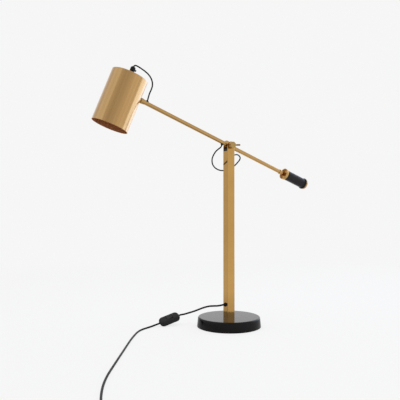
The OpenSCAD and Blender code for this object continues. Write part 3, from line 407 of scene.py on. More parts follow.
def rollUp(tree, grid, angle, out, along):
    place = result(tree, "ShaderNodeCombineXYZ",
        {0: calc(tree, "MULTIPLY", out, calc(tree, "COSINE", angle)),
        1: calc(tree, "MULTIPLY", out, calc(tree, "SINE", angle)), 2: along})
    rolled = result(tree, "GeometryNodeSetPosition", {"Geometry": grid, "Position": place})
    return result(tree, "GeometryNodeMergeByDistance", {"Geometry": rolled, "Distance": 0.000002})


def makeTurnTree():
    tree, given = newTree("turnOutline", [("Segments", "Int"), ("Crease", "Float")])
    rows = addNode(tree, "GeometryNodeAttributeDomainSize",
        {"Geometry": given["Geometry"]}).outputs["Point Count"]
    grid, row, angle = gridRound(tree, given["Segments"], rows)
    here = result(tree, "GeometryNodeInputPosition")
    picked = addNode(tree, "GeometryNodeSampleIndex", {"Geometry": given["Geometry"], "Value": here,
        "Index": row}, data_type="FLOAT_VECTOR")
    parts = addNode(tree, "ShaderNodeSeparateXYZ", {0: picked.outputs[0]}).outputs
    shell = rollUp(tree, grid, angle, parts["X"], parts["Z"])
    return endTree(tree, smoothButCreases(tree, shell, given["Crease"]), given["Material"])


def makeThreadTree():
    # a rolled thread, as in a screw lampholder and on a bulb's cap; it fades out at both ends
    tree, given = newTree("rolledThread", [("Radius", "Float"), ("Length", "Float"), ("Pitch", "Float"),
        ("Depth", "Float"), ("Segments", "Int"), ("Rows", "Int")])
    grid, row, angle = gridRound(tree, given["Segments"], given["Rows"])
    share = calc(tree, "DIVIDE", row, calc(tree, "SUBTRACT", given["Rows"], 1.0))
    along = calc(tree, "MULTIPLY", share, given["Length"])
    phase = calc(tree, "SUBTRACT", calc(tree, "MULTIPLY", calc(tree, "DIVIDE", along, given["Pitch"]),
        2 * math.pi), angle)
    wave = calc(tree, "SUBTRACT", calc(tree, "MULTIPLY", calc(tree, "COSINE", phase), 0.5), 0.5)
    fade = remap(tree, calc(tree, "PINGPONG", share, 0.5), 0.0, 0.08, 0.0, 1.0)
    dip = calc(tree, "MULTIPLY", calc(tree, "MULTIPLY", wave, given["Depth"]), fade)
    shell = rollUp(tree, grid, angle, calc(tree, "ADD", given["Radius"], dip), along)
    return endTree(tree, smoothButCreases(tree, shell, 0.9), given["Material"])


def makeRibTree():
    # round ribs along a taper, as on a plug's strain relief
    tree, given = newTree("taperRibs", [("Count", "Int"), ("Length", "Float"), ("Start radius", "Float"),
        ("End radius", "Float"), ("Rib radius", "Float")])
    points = result(tree, "GeometryNodePoints", {"Count": given["Count"]})
    share = calc(tree, "DIVIDE", result(tree, "GeometryNodeInputIndex"),
        calc(tree, "SUBTRACT", given["Count"], 1.0))
    spot = result(tree, "ShaderNodeCombineXYZ", {2: calc(tree, "MULTIPLY", share, given["Length"])})
    placed = result(tree, "GeometryNodeSetPosition", {"Geometry": points, "Position": spot})
    loop = result(tree, "GeometryNodeCurvePrimitiveCircle", {"Resolution": 40, "Radius": 1.0})
    size = remap(tree, share, 0.0, 1.0, given["Start radius"], given["End radius"])
    scale = result(tree, "ShaderNodeCombineXYZ", {0: size, 1: size, 2: size})
    rings = result(tree, "GeometryNodeInstanceOnPoints", {"Points": placed, "Instance": loop, "Scale": scale})
    real = result(tree, "GeometryNodeRealizeInstances", {"Geometry": rings})
    profile = result(tree, "GeometryNodeCurvePrimitiveCircle",
        {"Resolution": 10, "Radius": given["Rib radius"]})
    ribs = result(tree, "GeometryNodeCurveToMesh", {"Curve": real, "Profile Curve": profile})
    return endTree(tree, smoothButCreases(tree, ribs, 1.2), given["Material"])


def makeRoundTree():
    # the piece's own mesh repeated round the z axis
    tree, given = newTree("repeatRound", [("Count", "Int"), ("First turn", "Float")])
    points = result(tree, "GeometryNodePoints", {"Count": given["Count"]})
    index = result(tree, "GeometryNodeInputIndex")
    angle = calc(tree, "ADD", calc(tree, "DIVIDE", calc(tree, "MULTIPLY", index, 2 * math.pi),
        given["Count"]), given["First turn"])
    turn = result(tree, "ShaderNodeCombineXYZ", {2: angle})
    copies = result(tree, "GeometryNodeInstanceOnPoints", {"Points": points, "Instance": given["Geometry"],
        "Rotation": turn})
    return endTree(tree, copies, given["Material"])


turnTree = makeTurnTree()
threadTree = makeThreadTree()
ribTree = makeRibTree()
roundTree = makeRoundTree()


def runTree(piece, tree, values, place=standPlace):
    modifier = piece.modifiers.new(tree.name, "NODES")
    modifier.node_group = tree
    for item in tree.interface.items_tree:
        if item.in_out == "INPUT" and item.name in values:
            modifier[item.identifier] = values[item.name]
    piece.update_tag()
    bpy.context.view_layer.update()
    applyModifiers(piece)
    # the tree leaves an empty material slot before its own
    piece.data.materials.clear()
    piece.data.materials.append(values["Material"])
    for face in piece.data.polygons:
        face.material_index = 0
    piece.data.transform(place)
    piece.data.update()
    return piece


def outlinePiece(name, outline):
    mesh = bpy.data.meshes.new(name)
    mesh.from_pydata([(p[0] * mm, 0, p[1] * mm) for p in outline],
        [(n, n + 1) for n in range(len(outline) - 1)], [])
    return addObject(name, mesh)


def turned(name, corners, place, material, segments=96, steps=5):
    # an outline that starts off the axis is a closed ring
    outline = rounded(corners, corners[0][0] > 0, steps)
    values = {"Segments": segments, "Crease": 0.6, "Material": material}
    return runTree(outlinePiece(name, outline), turnTree, values, place)


def joined(name, pieces):
    shape = bmesh.new()
    for piece in pieces:
        shape.from_mesh(piece.data)
    mesh = bpy.data.meshes.new(name)
    shape.to_mesh(mesh)
    shape.free()
    mesh.materials.append(pieces[0].data.materials[0])
    for piece in pieces:
        bpy.data.objects.remove(piece)
    return addObject(name, mesh)


def refined(node, name, material, edge, steps):
    # a copy of a CAD solid with its triangles merged, its faces cleaned and its sharp edges broken
    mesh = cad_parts[node].data.copy()
    piece = addObject(name, mesh)
    shape = bmesh.new()
    shape.from_mesh(mesh)
    bmesh.ops.remove_doubles(shape, verts=shape.verts, dist=0.000004)
    bmesh.ops.dissolve_limit(shape, angle_limit=math.radians(1), verts=shape.verts, edges=shape.edges)
    for face in shape.faces:
        face.smooth = True
    shape.to_mesh(mesh)
    shape.free()
    mesh.materials.clear()
    mesh.materials.append(material)
    bevel = piece.modifiers.new("brokenEdges", "BEVEL")
    bevel.width = edge * mm
    bevel.segments = steps
    bevel.limit_method = "ANGLE"
    bevel.angle_limit = math.radians(bevelAngle)
    applyModifiers(piece)
    for face in piece.data.polygons:
        face.use_smooth = face.area < largeFlat * mm * mm
    sharpen(piece)
    return piece


def finishPiece(piece, body, slot, *nodes):
    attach(piece, body)
    if nodes:
        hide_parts(*nodes)
    return piece


def fitRefined(node, name, material, body, slot, edge, steps=2):
    return finishPiece(refined(node, name, material, edge, steps), body, slot, node)


def fitTurned(name, corners, place, material, body, slot, node, **options):
    return finishPiece(turned(name, corners, place, material, **options), body, slot, node)


# Cords come first: each is one smooth line through the routes of the CAD model, in millimetres

def smoothLine(points, pieces=5):
    knots = [Vector(p) for p in points]
    line = []
    for n in range(len(knots) - 1):
        a = knots[n - 1] if n else knots[0] * 2 - knots[1]
        b, c = knots[n], knots[n + 1]
        d = knots[n + 2] if n + 2 < len(knots) else knots[-1] * 2 - knots[-2]
        for k in range(pieces):
            t = k / pieces
            bend = 2 * b + (c - a) * t + (2 * a - 5 * b + 4 * c - d) * t * t
            line.append(0.5 * (bend + (3 * b - a - 3 * c + d) * t ** 3))
    line.append(knots[-1])
    return line


def lineLength(line):
    return sum((b - a).length for a, b in zip(line, line[1:])) * mm


def tube(name, line, diameter, material, sides=16):
    # a closed tube along a line, its rings carried along without twist, UV u round it and v along it
    tangents = []
    for n in range(len(line)):
        ahead = line[min(n + 1, len(line) - 1)] - line[max(n - 1, 0)]
        tangents.append(ahead.normalized())
    side = tangents[0].orthogonal().normalized()
    points, faces, uvs = [], [], []
    run = 0
    for n, (spot, heading) in enumerate(zip(line, tangents)):
        side = (side - heading * side.dot(heading)).normalized()
        other = heading.cross(side)
        run += (spot - line[n - 1]).length if n else 0
        for k in range(sides):
            turn = 2 * math.pi * k / sides
            points.append(spot + (math.cos(turn) * side + math.sin(turn) * other) * diameter / 2)
        if n:
            low, high = (n - 1) * sides, n * sides
            for k in range(sides):
                m = (k + 1) % sides
                faces.append((low + k, low + m, high + m, high + k))
                before = run - (spot - line[n - 1]).length
                uvs += [(k / sides, before / diameter / 3), ((k + 1) / sides, before / diameter / 3),
                    ((k + 1) / sides, run / diameter / 3), (k / sides, run / diameter / 3)]
    faces.append(tuple(reversed(range(sides))))
    faces.append(tuple(range(len(points) - sides, len(points))))
    uvs += [(0, 0)] * (2 * sides)
    piece = meshPiece(name, points, faces, standPlace, material)
    layer = piece.data.uv_layers.new(name="UVMap")
    for n, uv in enumerate(uvs):
        layer.data[n].uv = uv
    for face in list(piece.data.polygons)[-2:]:
        face.use_smooth = False
    return piece


loopRoute = [(-20.1, 0, 437.7), (-21.3, 0, 434.6), (-24, 1, 431), (-28, 3, 427.5), (-32.5, 6.5, 422.5),
    (-35, 12, 415.5), (-35, 19, 408), (-31.5, 27, 401), (-26, 34, 394), (-19, 39.5, 388.5), (-11, 43, 384),
    (-2.5, 45, 381), (6.5, 46, 379.5), (15, 46, 380), (24, 45, 382), (32, 43.5, 385.5), (39.5, 41, 390),
    (45, 38, 396), (49, 34, 402), (50.5, 29.5, 407), (49, 25, 411), (44, 20, 414.5), (37.5, 15.5, 416.7),
    (31, 11.5, 417.4), (24.7, 7.8, 416.9), (20, 4.9, 415.9), (16, 3.5, 415.2), (13, 3.5, 415.2)]
headRoute = [(-214.7, 0, 526.5), (-213.7, 0, 529.2), (-212, 0, 535.6), (-209.2, 0, 544),
    (-205.4, -0.3, 552.4), (-203, -0.8, 561), (-203.5, -1.3, 569.6), (-207, -1.8, 577.6),
    (-212.6, -2.4, 584.2), (-219.4, -3.1, 589.2), (-226.6, -3.8, 593.2), (-234, -4.6, 596.6),
    (-240.4, -5.2, 599.2), (-244.4, -5.6, 600.2), (-247.4, -5.8, 599.9), (-249.3, -5.8, 598.4),
    (-250.4, -5.7, 596.2), (-251.2, -5.5, 594.2)]
mainsRoute = [(-14.5, 0, 53.6), (-17.2, 0, 53.6), (-20.4, 0.8, 53), (-28, 4.4, 51.6), (-35.5, 11, 50.8),
    (-42, 20, 49.4), (-48, 30, 46.2), (-53, 40, 42), (-57.4, 50.2, 37.3), (-61.8, 59.8, 32.9),
    (-67, 68.2, 29.2), (-73.5, 75, 26), (-81, 79.4, 23.6), (-86, 80.9, 22.9), (-91, 81.4, 22.2),
    (-96.8, 81.4, 20.7)]
onFloor = [(-194, 67), (-202.6, 60.9), (-210.8, 53.6), (-218.5, 45), (-225.5, 36), (-232.5, 26),
    (-240, 15.2), (-247.5, 4), (-255, -7.4), (-263, -20), (-271, -33), (-279, -46)]
onFloor += [(-287.5 - 8.5 * n, -60 - 14 * n) for n in range(11)]
onFloor += [(-381, -214.2), (-389.3, -228.6), (-397.4, -243.4), (-405.2, -258.4), (-412.6, -273.6),
    (-419.6, -289), (-426.2, -304.6), (-432.4, -320.4), (-438.2, -336.2), (-443.6, -352), (-448.8, -367),
    (-453.6, -380.4), (-458.1, -391.9)]
floorRoute = [(-143.4, 81.4, 8.3), (-149.1, 81.4, 6.8), (-156.5, 81, 5.2), (-165.5, 79.4, 3.6),
    (-175, 76.4, 2.6), (-184.6, 72.2, 2.2)]
floorRoute += [(x, y, 2.1) for x, y in onFloor]
coil = {"centre": (-430, -410), "turns": 6.3, "innerRadius": 17, "step": 4.7, "startAngle": 162, "rings": 24}
mainsDiameter = 4.2
armCordDiameter = 3.2


def coilPoint(t):
    # the coil winds in on the floor, climbs one layer where it turns back, and winds out on top
    middle = coil["turns"] / 2
    radius = coil["innerRadius"] + coil["step"] * abs(t - middle)
    layer = 0 if t < middle - 0.25 else 1 if t > middle + 0.25 else 2 * (t - middle) + 0.5
    turn = math.radians(coil["startAngle"] + 360 * t)
    return Vector((coil["centre"][0] + radius * math.cos(turn), coil["centre"][1] + radius * math.sin(turn),
        mainsDiameter / 2 + coil["step"] * layer))


coilCount = round(coil["turns"] * coil["rings"])
coilPoints = [coilPoint(coil["turns"] * n / coilCount) for n in range(coilCount + 1)]
loopLine = smoothLine(loopRoute)
headLine = smoothLine(headRoute)
mainsLine = smoothLine(mainsRoute)
floorLine = smoothLine(floorRoute, 3) + smoothLine(coilPoints, 2) + [Vector(plugAt)]
loopCord = tube("loopCord", loopLine, armCordDiameter, cordFinish)
headCord = tube("headCord", headLine, armCordDiameter, cordFinish)
mainsCord = tube("mainsCord", mainsLine, mainsDiameter, cordFinish)
floorCord = tube("floorCord", floorLine, mainsDiameter, cordFinish, 14)
for label, line in (("loop", loopLine), ("head", headLine), ("mains", mainsLine), ("floor", floorLine)):
    print("cord", label, round(lineLength(line), 4), "m")


# Base and column

base = {"coverSide": 76.93, "coverTop": 74.735, "height": 24.5, "topRound": 3, "foot": 0.8, "boltHole": 4.2,
    "innerSide": 75.92, "innerTop": 73.82, "innerHeight": 23.5, "feltRadius": 75.2, "feltThick": 1.5}


def makeBase(size):
    foot, top, hole = size["foot"], size["height"], size["boltHole"]
    coverShape = [(hole, size["innerHeight"]), (size["innerTop"], size["innerHeight"], 2),
        (size["innerSide"], foot, 0.2), (size["coverSide"], foot, 0.3),
        (size["coverTop"], top, size["topRound"]), (hole, top)]
    cover = turned("baseCover", coverShape, standPlace, blackEnamel, segments=192, steps=8)
    finishPiece(cover, "stand", "black_base", "base_cover")
    pad = turned("baseFelt", [(0, 0), (size["feltRadius"], 0, 0.5),
        (size["feltRadius"], size["feltThick"], 0.2), (0, size["feltThick"])], standPlace, felt, segments=128)
    finishPiece(pad, "stand", "felt", "base_felt")


makeBase(base)
fitRefined("column_tube", "columnTube", columnBrass, "stand", "brass", 0.8, 4)
fitRefined("column_stop", "columnStop", blackPlastic, "stand", "black_plastic", 0.3)
mainsBushShape = [(2.15, -3), (3.5, -3, 0.2), (3.5, 0), (5, 0, 0.15), (5, 0.9, 0.4), (4.4, 1.5, 0.4),
    (3.3, 4.5, 0.8), (2.15, 4.5, 0.2)]
fitTurned("mainsBush", mainsBushShape, mainsExitPlace, rubber, "stand", "rubber", "mains_grommet",
    segments=56)
loopBushShape = [(1.65, -3), (2.7, -3, 0.2), (2.7, 0), (4.2, 0, 0.15), (4.2, 0.9, 0.4), (3.6, 1.5, 0.4),
    (2.5, 3, 0.5), (1.65, 3, 0.15)]
fitTurned("loopBush", loopBushShape, loopEntryPlace, rubber, "stand", "rubber", "column_grommet", segments=56)
print("base and column made")


# Pivot: bolt, washers, barrel, nut and lever

boltShape = [(0, -14.4), (1.8, -14.3, 1), (4, -13.5, 0.9), (5, -12.3, 0.7), (5, -11, 0.15), (2.5, -11),
    (2.5, 17.9, 0.3), (0, 17.9)]
fitTurned("pivotBolt", boltShape, acrossPivot, shadowedBrass, "stand", "dark_brass", "pivot_bolt", segments=64)
washers = [turned("washer", [(2.55, low), (6.5, low, 0.2), (6.5, low + 1, 0.2), (2.55, low + 1)],
    acrossPivot, pivotBrass, segments=72) for low in (-11, 10)]
finishPiece(joined("pivotWashers", washers), "stand", "brass", "pivot_washers")
nutShape = [(0, 11.05), (8, 11.05, 0.4), (8, 20.55, 1.6), (5.2, 20.55, 0.3), (4.8, 20.25, 0.3), (0, 20.25)]
fitTurned("leverNut", nutShape, acrossPivot, pivotBrass, "lever", "brass", "lever_nut", segments=96)
leverShape = [(0, 3.6), (2.1, 3.6, 0.1), (2.1, 22, 2), (0, 22)]
fitTurned("leverRod", leverShape, leverPlace, leverBrass, "lever", "dark_brass", "lever", segments=48,
    steps=8)
barrelShape = [(2.55, -7.75), (6.5, -7.75, 0.5), (6.5, 7.75, 0.5), (2.55, 7.75)]
barrelPlace = armPlace @ turnAbout("X", 90)
fitTurned("pivotBarrel", barrelShape, barrelPlace, pivotBrass, "arm", "brass", "pivot_barrel", segments=80)
print("pivot made")


# Arm and its end collar

armShape = [(3.75, -245.15), (4.75, -245.15, 0.15), (4.75, 165.5, 0.15), (3.75, 165.5)]
fitTurned("armTube", armShape, alongArm, armBrass, "arm", "brass", "arm_tube", segments=72)
collarShape = [(2.55, -247.4), (6.3, -247.4, 0.5), (6.4, -244.4, 1.2), (5.25, -237, 0.6),
    (5.05, -236.6, 0.2), (4.8, -236.6), (4.8, -245.2), (2.55, -245.2)]
fitTurned("endCollar", collarShape, alongArm, armBrass, "arm", "brass", "end_collar", segments=80)
for node, name in (("arm_grommet", "armBush"), ("head_grommet", "headBush")):
    fitRefined(node, name, rubber, "arm", "rubber", 0.2)
fitRefined("swivel_bolt", "swivelBolt", steel, "arm", "steel", 0.15)
print("arm made")


# Shade with its cord grip

shade = {"radius": 41.5, "wall": 1.2, "top": 38.3, "rim": -82.2, "topRound": 1.5}


def makeShade(size):
    outer, top, rim = size["radius"], size["top"], size["rim"]
    inner = outer - size["wall"]
    ceiling = top - size["wall"]
    shellShape = [(0, ceiling), (inner, ceiling, 0.6), (inner, rim, 0.3), (outer, rim, 0.3),
        (outer, top, size["topRound"]), (0, top)]
    shell = turned("shadeShell", shellShape, headPlace, shadeBrass, segments=256, steps=6)
    shell.data.materials.clear()
    for finish in (shadeBrass, shadeInnerPaintedTint):
        shell.data.materials.append(finish)
    # the inside and the rim take the redder brass of the painted reflection tint
    toHead = headPlace.inverted()
    for face in shell.data.polygons:
        spot = toHead @ face.center
        inside = math.hypot(spot.x, spot.y) < (inner + 0.1) * mm and spot.z < (ceiling + 0.1) * mm
        face.material_index = 1 if inside or spot.z < (rim + 0.2) * mm else 0
    finishPiece(shell, "head", "brass", "shade")


makeShade(shade)
fitRefined("swivel_washers", "swivelWashers", shadowedBrass, "head", "dark_brass", 0.15)
nippleShape = [(3.2, 28.85), (5, 28.85, 0.3), (5, 45.3, 0.3), (3.2, 45.3)]
fitTurned("nippleTube", nippleShape, headPlace, shadeBrass, "head", "brass", "nipple", segments=56)
fitRefined("nipple_nut", "nippleNut", steel, "head", "steel", 0.3)
gripShape = [(5.05, 0), (6.3, 0, 0.3), (6.3, 7.5, 0.7), (4.2, 9, 0.5), (4.2, 10.7, 0.4), (5.6, 11.5, 0.5),
    (5.6, 19.1, 0.6), (3.5, 21.6, 0.5), (2.4, 21.6, 0.2), (2.4, 18.4), (1.65, 18.4), (1.65, 8.3), (5.05, 8.3)]
fitTurned("cordGrip", gripShape, headPlace @ moveBy(0, 0, 38.3), blackPlastic, "head", "black_plastic",
    "cord_grip", segments=72)
screwShape = [(0, 0), (1.5, 0), (1.5, 4), (2.1, 4, 0.2), (2.1, 6.8, 0.5), (0, 6.8)]
fitTurned("gripScrew", screwShape, gripScrewPlace, blackPlastic, "head", "black_plastic", "grip_screw",
    segments=40)
print("shade made")


# Lampholder and bulb

holderCapShape = [(5.05, 16.85), (13.5, 16.85, 0.5), (13.5, 28.85, 1), (12.3, 31.85, 1.2), (9, 33.85, 1.2),
    (5.05, 33.85)]
fitTurned("holderCap", holderCapShape, headPlace, blackPlastic, "head", "black_plastic", "holder_cap",
    segments=80)
holderShape = [(12, -11.15), (13.5, -11.15, 0.6), (13.5, -8.4, 0.3), (13.1, -8, 0.3), (13.1, 12.2, 0.3),
    (13.5, 12.6, 0.3), (13.5, 16.8, 0.4), (12, 16.8)]
fitTurned("holderBody", holderShape, headPlace, blackPlastic, "head", "black_plastic", "holder_body",
    segments=80)

thread = {"pitch": 2.82, "depth": 0.45, "wall": 0.3, "segments": 64, "rows": 90}


def makeThread(name, radius, low, length, material, size):
    seed = outlinePiece(name, [(0, 0), (0, 1)])
    values = {"Radius": radius * mm, "Length": length * mm, "Pitch": size["pitch"] * mm,
        "Depth": size["depth"] * mm, "Segments": size["segments"], "Rows": size["rows"], "Material": material}
    runTree(seed, threadTree, values)
    thick = seed.modifiers.new("wall", "SOLIDIFY")
    thick.thickness = size["wall"] * mm
    thick.offset = -1
    applyModifiers(seed)
    seed.data.transform(headPlace @ moveBy(0, 0, low))
    return seed


holderThread = makeThread("holderThread", 7.7, -8.15, 21, contactBrass, thread)
finishPiece(holderThread, "head", "contact_brass", "holder_thread")
capBody = turned("capBody", [(0, -12.15), (5.9, -12.15, 0.3), (6.4, -11, 0.3), (6.3, 6.5, 0.3),
    (4.4, 10.2, 0.4), (2.3, 10.35, 0.2), (2.2, 11.85, 0.6), (0, 11.85)], headPlace, capMetal, segments=64)
capThread = makeThread("capThread", 6.9, -9.6, 16, capMetal, thread)
finishPiece(joined("bulbCap", [capBody, capThread]), "head", "bulb_cap", "bulb_cap")

bulbSize = {"radius": 22.5, "centre": -43.65, "wall": 0.9, "neckAngle": 44, "steps": 28}


def glassLine(size, inset):
    first = math.radians(size["neckAngle"])
    radius = size["radius"] - inset
    neck = [(6.7 - inset, -12.6), (7.0 - inset, -15.2), (8.6 - inset, -18.8), (11.9 - inset, -23.6)]
    ball = []
    for n in range(size["steps"] + 1):
        turn = first - n * (first + math.pi / 2) / size["steps"]
        ball.append((radius * math.cos(turn), size["centre"] + radius * math.sin(turn)))
    curve = smoothLine([(*p, 0) for p in neck + ball[:2]], 4)[:-4]
    return [(p.x, p.y) for p in curve] + ball[1:]


outer = glassLine(bulbSize, 0)
inner = glassLine(bulbSize, bulbSize["wall"])
ring = [(abs(x), y) for x, y in list(reversed(outer)) + inner]
ring[0] = (0, outer[-1][1])
ring[-1] = (0, inner[-1][1])
bulb = runTree(outlinePiece("bulbGlass", ring), turnTree,
    {"Segments": 96, "Crease": 0.8, "Material": bulbGlass}, headPlace)
finishPiece(bulb, "head", "bulb_glass", "bulb_glass")
rod = turned("rodSeed", [(0, -50), (0.8, -50, 0.7), (0.8, -24, 0.7), (0, -24)], moveBy(7, 0, 0), filament,
    segments=16)
rods = runTree(rod, roundTree, {"Count": 4, "First turn": math.radians(45), "Material": filament}, headPlace)
rods.name = "bulbRods"
finishPiece(rods, "head", "filaments", "bulb_filaments")
stem = turned("bulbStem", [(0, -34), (1.5, -34, 1), (1.6, -25, 2), (4.5, -18, 3), (4.5, -13.5, 0.3),
    (0, -13.5)], headPlace, bulbGlass, segments=40)
finishPiece(stem, "head", "bulb_glass")
wireLines = []
for degrees in range(45, 360, 90):
    turn = math.radians(degrees)
    aim = Vector((math.cos(turn), math.sin(turn), 0))
    for top, low in ((-25, -24), (-33, -50)):
        heights = ((top, 1.2), ((top + low) / 2, 4.2), (low, 7))
        wireLines.append([Vector((0, 0, height)) + aim * out for height, out in heights])
wires = [tube("wire", smoothLine(line, 6), 0.5, steel, 8) for line in wireLines]
wires = joined("bulbWires", wires)
wires.data.transform(headPlace)
finishPiece(wires, "head", "steel")
print("lampholder and bulb made")


# Counterweight

ferruleShape = [(4.8, 162), (5.9, 162, 0.5), (5.9, 168, 0.5), (5.05, 168), (5.05, 165.6), (4.8, 165.6)]
fitTurned("tailFerrule", ferruleShape, alongArm, weightBrass, "arm", "brass", "tail_ferrule", segments=72)
rodShape = [(0, 154.5), (3.7, 154.5, 0.3), (3.7, 168), (5, 168, 0.15), (5, 181, 0.15), (4, 181),
    (4, 249.4, 0.2), (0, 249.4)]
fitTurned("weightRod", rodShape, alongArm, weightBrass, "arm", "brass", "weight_rod", segments=64)
cupShape = [(4.05, 181.1), (12.3, 181.1, 0.6), (12.3, 177.2, 0.3), (13, 176.4, 0.2), (14.3, 176.4, 0.7),
    (14.3, 183.4, 0.6), (10.85, 183.4), (10.85, 188.4), (4.05, 188.4)]
fitTurned("weightCup", cupShape, alongArm, weightBrass, "arm", "brass", "weight_cup", segments=112)
sleeveShape = [(10.9, 183.4), (12.5, 183.4, 0.25), (12.5, 243, 0.25), (10.9, 243)]
fitTurned("weightSleeve", sleeveShape, alongArm, weightBlack, "arm", "weight_black", "weight_sleeve",
    segments=112)
flangeShape = [(4.05, 243), (14.3, 243, 0.4), (14.3, 246.5, 0.8), (4.05, 246.5)]
fitTurned("weightFlange", flangeShape, alongArm, weightBlack, "arm", "weight_black", "weight_flange",
    segments=112)
capShape = [(0, 246.5), (13.2, 246.5, 0.15), (13.2, 252, 3), (0, 252)]
fitTurned("weightCap", capShape, alongArm, weightBrass, "arm", "brass", "weight_cap", segments=112, steps=9)
print("counterweight made")


# In-line switch

switch = {"length": 53, "width": 25, "half": 7.5, "corner": 10, "edge": 6, "windowLength": 16,
    "windowWidth": 12, "wall": 1.8, "screwAt": 19, "seam": 0.12, "windowDepth": 2}


def softRect(length, width, corner, steps=10):
    points = []
    for side, (sx, sy) in enumerate(((1, 1), (-1, 1), (-1, -1), (1, -1))):
        for k in range(steps + 1):
            turn = math.pi / 2 * (side + k / steps)
            x = sx * (length / 2 - corner) + corner * math.cos(turn)
            y = sy * (width / 2 - corner) + corner * math.sin(turn)
            points.append((x, y))
    return points


def loft(name, loops, place, material, capFirst=False, capLast=False, closed=False):
    # loops of equally many points, each (outline, height)
    points, faces = [], []
    count = len(loops[0][0])
    for outline, height in loops:
        points += [(x, y, height) for x, y in outline]
    pairs = list(zip(range(len(loops) - 1), range(1, len(loops)))) + ([(len(loops) - 1, 0)] if closed else [])
    for low, high in pairs:
        for k in range(count):
            m = (k + 1) % count
            faces.append((low * count + k, low * count + m, high * count + m, high * count + k))
    if capFirst:
        faces.append(tuple(reversed(range(count))))
    if capLast:
        faces.append(tuple(range((len(loops) - 1) * count, len(loops) * count)))
    piece = meshPiece(name, points, faces, place, material)
    sharpen(piece)
    return piece


def makeSwitch(size):
    length, width, corner = size["length"], size["width"], size["corner"]
    edge, half, wall = size["edge"], size["half"], size["wall"]

    def skin(sign):
        side = softRect(length, width, corner)
        loops = [(side, sign * size["seam"]), (side, sign * (half - edge))]
        for k in range(1, 13):
            turn = math.pi / 2 * k / 12
            pull = edge * (1 - math.cos(turn))
            outline = softRect(length - 2 * pull, width - 2 * pull, corner - pull)
            loops.append((outline, sign * (half - edge + edge * math.sin(turn))))
        return loops

    window = softRect(size["windowLength"], size["windowWidth"], 0.8)
    mouth = softRect(size["windowLength"] + 1, size["windowWidth"] + 1, 1.3)
    hollow = softRect(length - 2 * wall, width - 2 * wall, corner - wall)
    deep = size["windowDepth"]
    upper = skin(1)
    upper += [(mouth, half), (window, half - 0.5), (window, deep), (hollow, deep), (hollow, size["seam"])]
    top = loft("switchUpper", upper, switchPlace, switchPlastic, closed=True)
    finishPiece(top, "stand", "switch_plastic", "switch_upper")
    lower = list(reversed(skin(-1)))
    bottom = loft("switchLower", lower, switchPlace, switchPlastic, capFirst=True, capLast=True)
    for side in (-1, 1):
        holePlace = switchPlace @ moveBy(side * size["screwAt"], 0, 0)
        cutter = turned("cutter", [(0, -10), (2.6, -10), (2.6, -5.2), (0, -5.2)], holePlace, switchPlastic,
            segments=32)
        hole = bottom.modifiers.new("screwHole", "BOOLEAN")
        hole.operation = "DIFFERENCE"
        hole.solver = "EXACT"
        hole.object = cutter
        bpy.context.view_layer.update()
        applyModifiers(bottom)
        bpy.data.objects.remove(cutter)
    sharpen(bottom)
    finishPiece(bottom, "stand", "switch_plastic", "switch_lower")
    return top, bottom


switchTop, switchBottom = makeSwitch(switch)
rocker = fitRefined("rocker", "rockerKey", rockerPlastic, "rocker", "rocker_plastic", 0.35, 3)
switchScrews = fitRefined("switch_screws", "switchScrews", steel, "stand", "steel", 0.12)
print("switch made")


# Plug with its strain relief, by the coil

plug = {"length": 34, "backWidth": 18, "frontWidth": 26, "thick": 13.6, "relief": 20, "pinsApart": 19}


def makePlug(size):
    back, front, thick = size["backWidth"], size["frontWidth"], size["thick"]
    stations = ((0, 9.4, 9.4, 4.2), (0.6, 10.6, 10.4, 4.6), (2.5, 14.5, 12.4, 5), (5, back, 13.5, 5.4),
        (10, 20.5, thick, 5.4), (18, 23.8, thick, 5.2), (26, front, thick, 4.8), (32.6, front, thick, 4.6),
        (33.6, 25.4, 13, 4.2), (size["length"], 24.2, 11.8, 3.6))
    loops = []
    for along, wide, deep, corner in stations:
        loops.append((softRect(deep, wide, corner, 8), along + size["relief"]))
    body = loft("plugBody", loops, plugPlace, blackPlastic, capFirst=True, capLast=True)
    finishPiece(body, "stand", "switch_plastic", "plug_body")
    core = turned("plugRelief", [(0, 0), (2.5, 0, 0.3), (2.5, 1), (4.1, 20.2), (0, 20.2)], plugPlace,
        rubber, segments=48)
    ribs = outlinePiece("reliefRibs", [(0, 0), (0, 1)])
    runTree(ribs, ribTree, {"Count": 7, "Length": 15.6 * mm, "Start radius": 2.2 * mm,
        "End radius": 3.75 * mm, "Rib radius": 0.75 * mm, "Material": rubber}, plugPlace @ moveBy(0, 0, 2.4))
    relief = joined("plugRelief", [core, ribs])
    finishPiece(relief, "stand", "rubber", "plug_relief")
    pinShape = [(0, 44.2), (2, 44.2), (2, 73, 1.2), (0, 73)]
    pins = []
    for side in (-1, 1):
        pinPlace = plugPlace @ moveBy(0, side * size["pinsApart"] / 2, 0)
        pins.append(turned("pin", pinShape, pinPlace, contactBrass, segments=40))
    pinPair = finishPiece(joined("plugPins", pins), "stand", "contact_brass", "plug_pins")
    return body, relief, pinPair


plugPieces = makePlug(plug)
print("plug made")


# Tie that holds the coil: a flat band round all its windings

tie = {"turn": 70, "near": 14.1, "far": 35.4, "low": 0.1, "high": 10.1, "thick": 0.5, "width": 5, "corner": 3}


def makeTie(size):
    across = size["far"] - size["near"]
    tall = size["high"] - size["low"]
    thick, width = size["thick"], size["width"]
    outside = softRect(across, tall, size["corner"], 6)
    within = softRect(across - 2 * thick, tall - 2 * thick, size["corner"] - thick, 6)
    loops = [(outside, 0), (outside, width), (within, width), (within, 0)]
    middle = moveBy((size["near"] + size["far"]) / 2, width / 2, (size["low"] + size["high"]) / 2)
    place = moveBy(*coil["centre"], 0) @ turnAbout("Z", size["turn"]) @ middle @ turnAbout("X", 90)
    return finishPiece(loft("coilTie", loops, place, rubber, closed=True), "stand", "rubber")


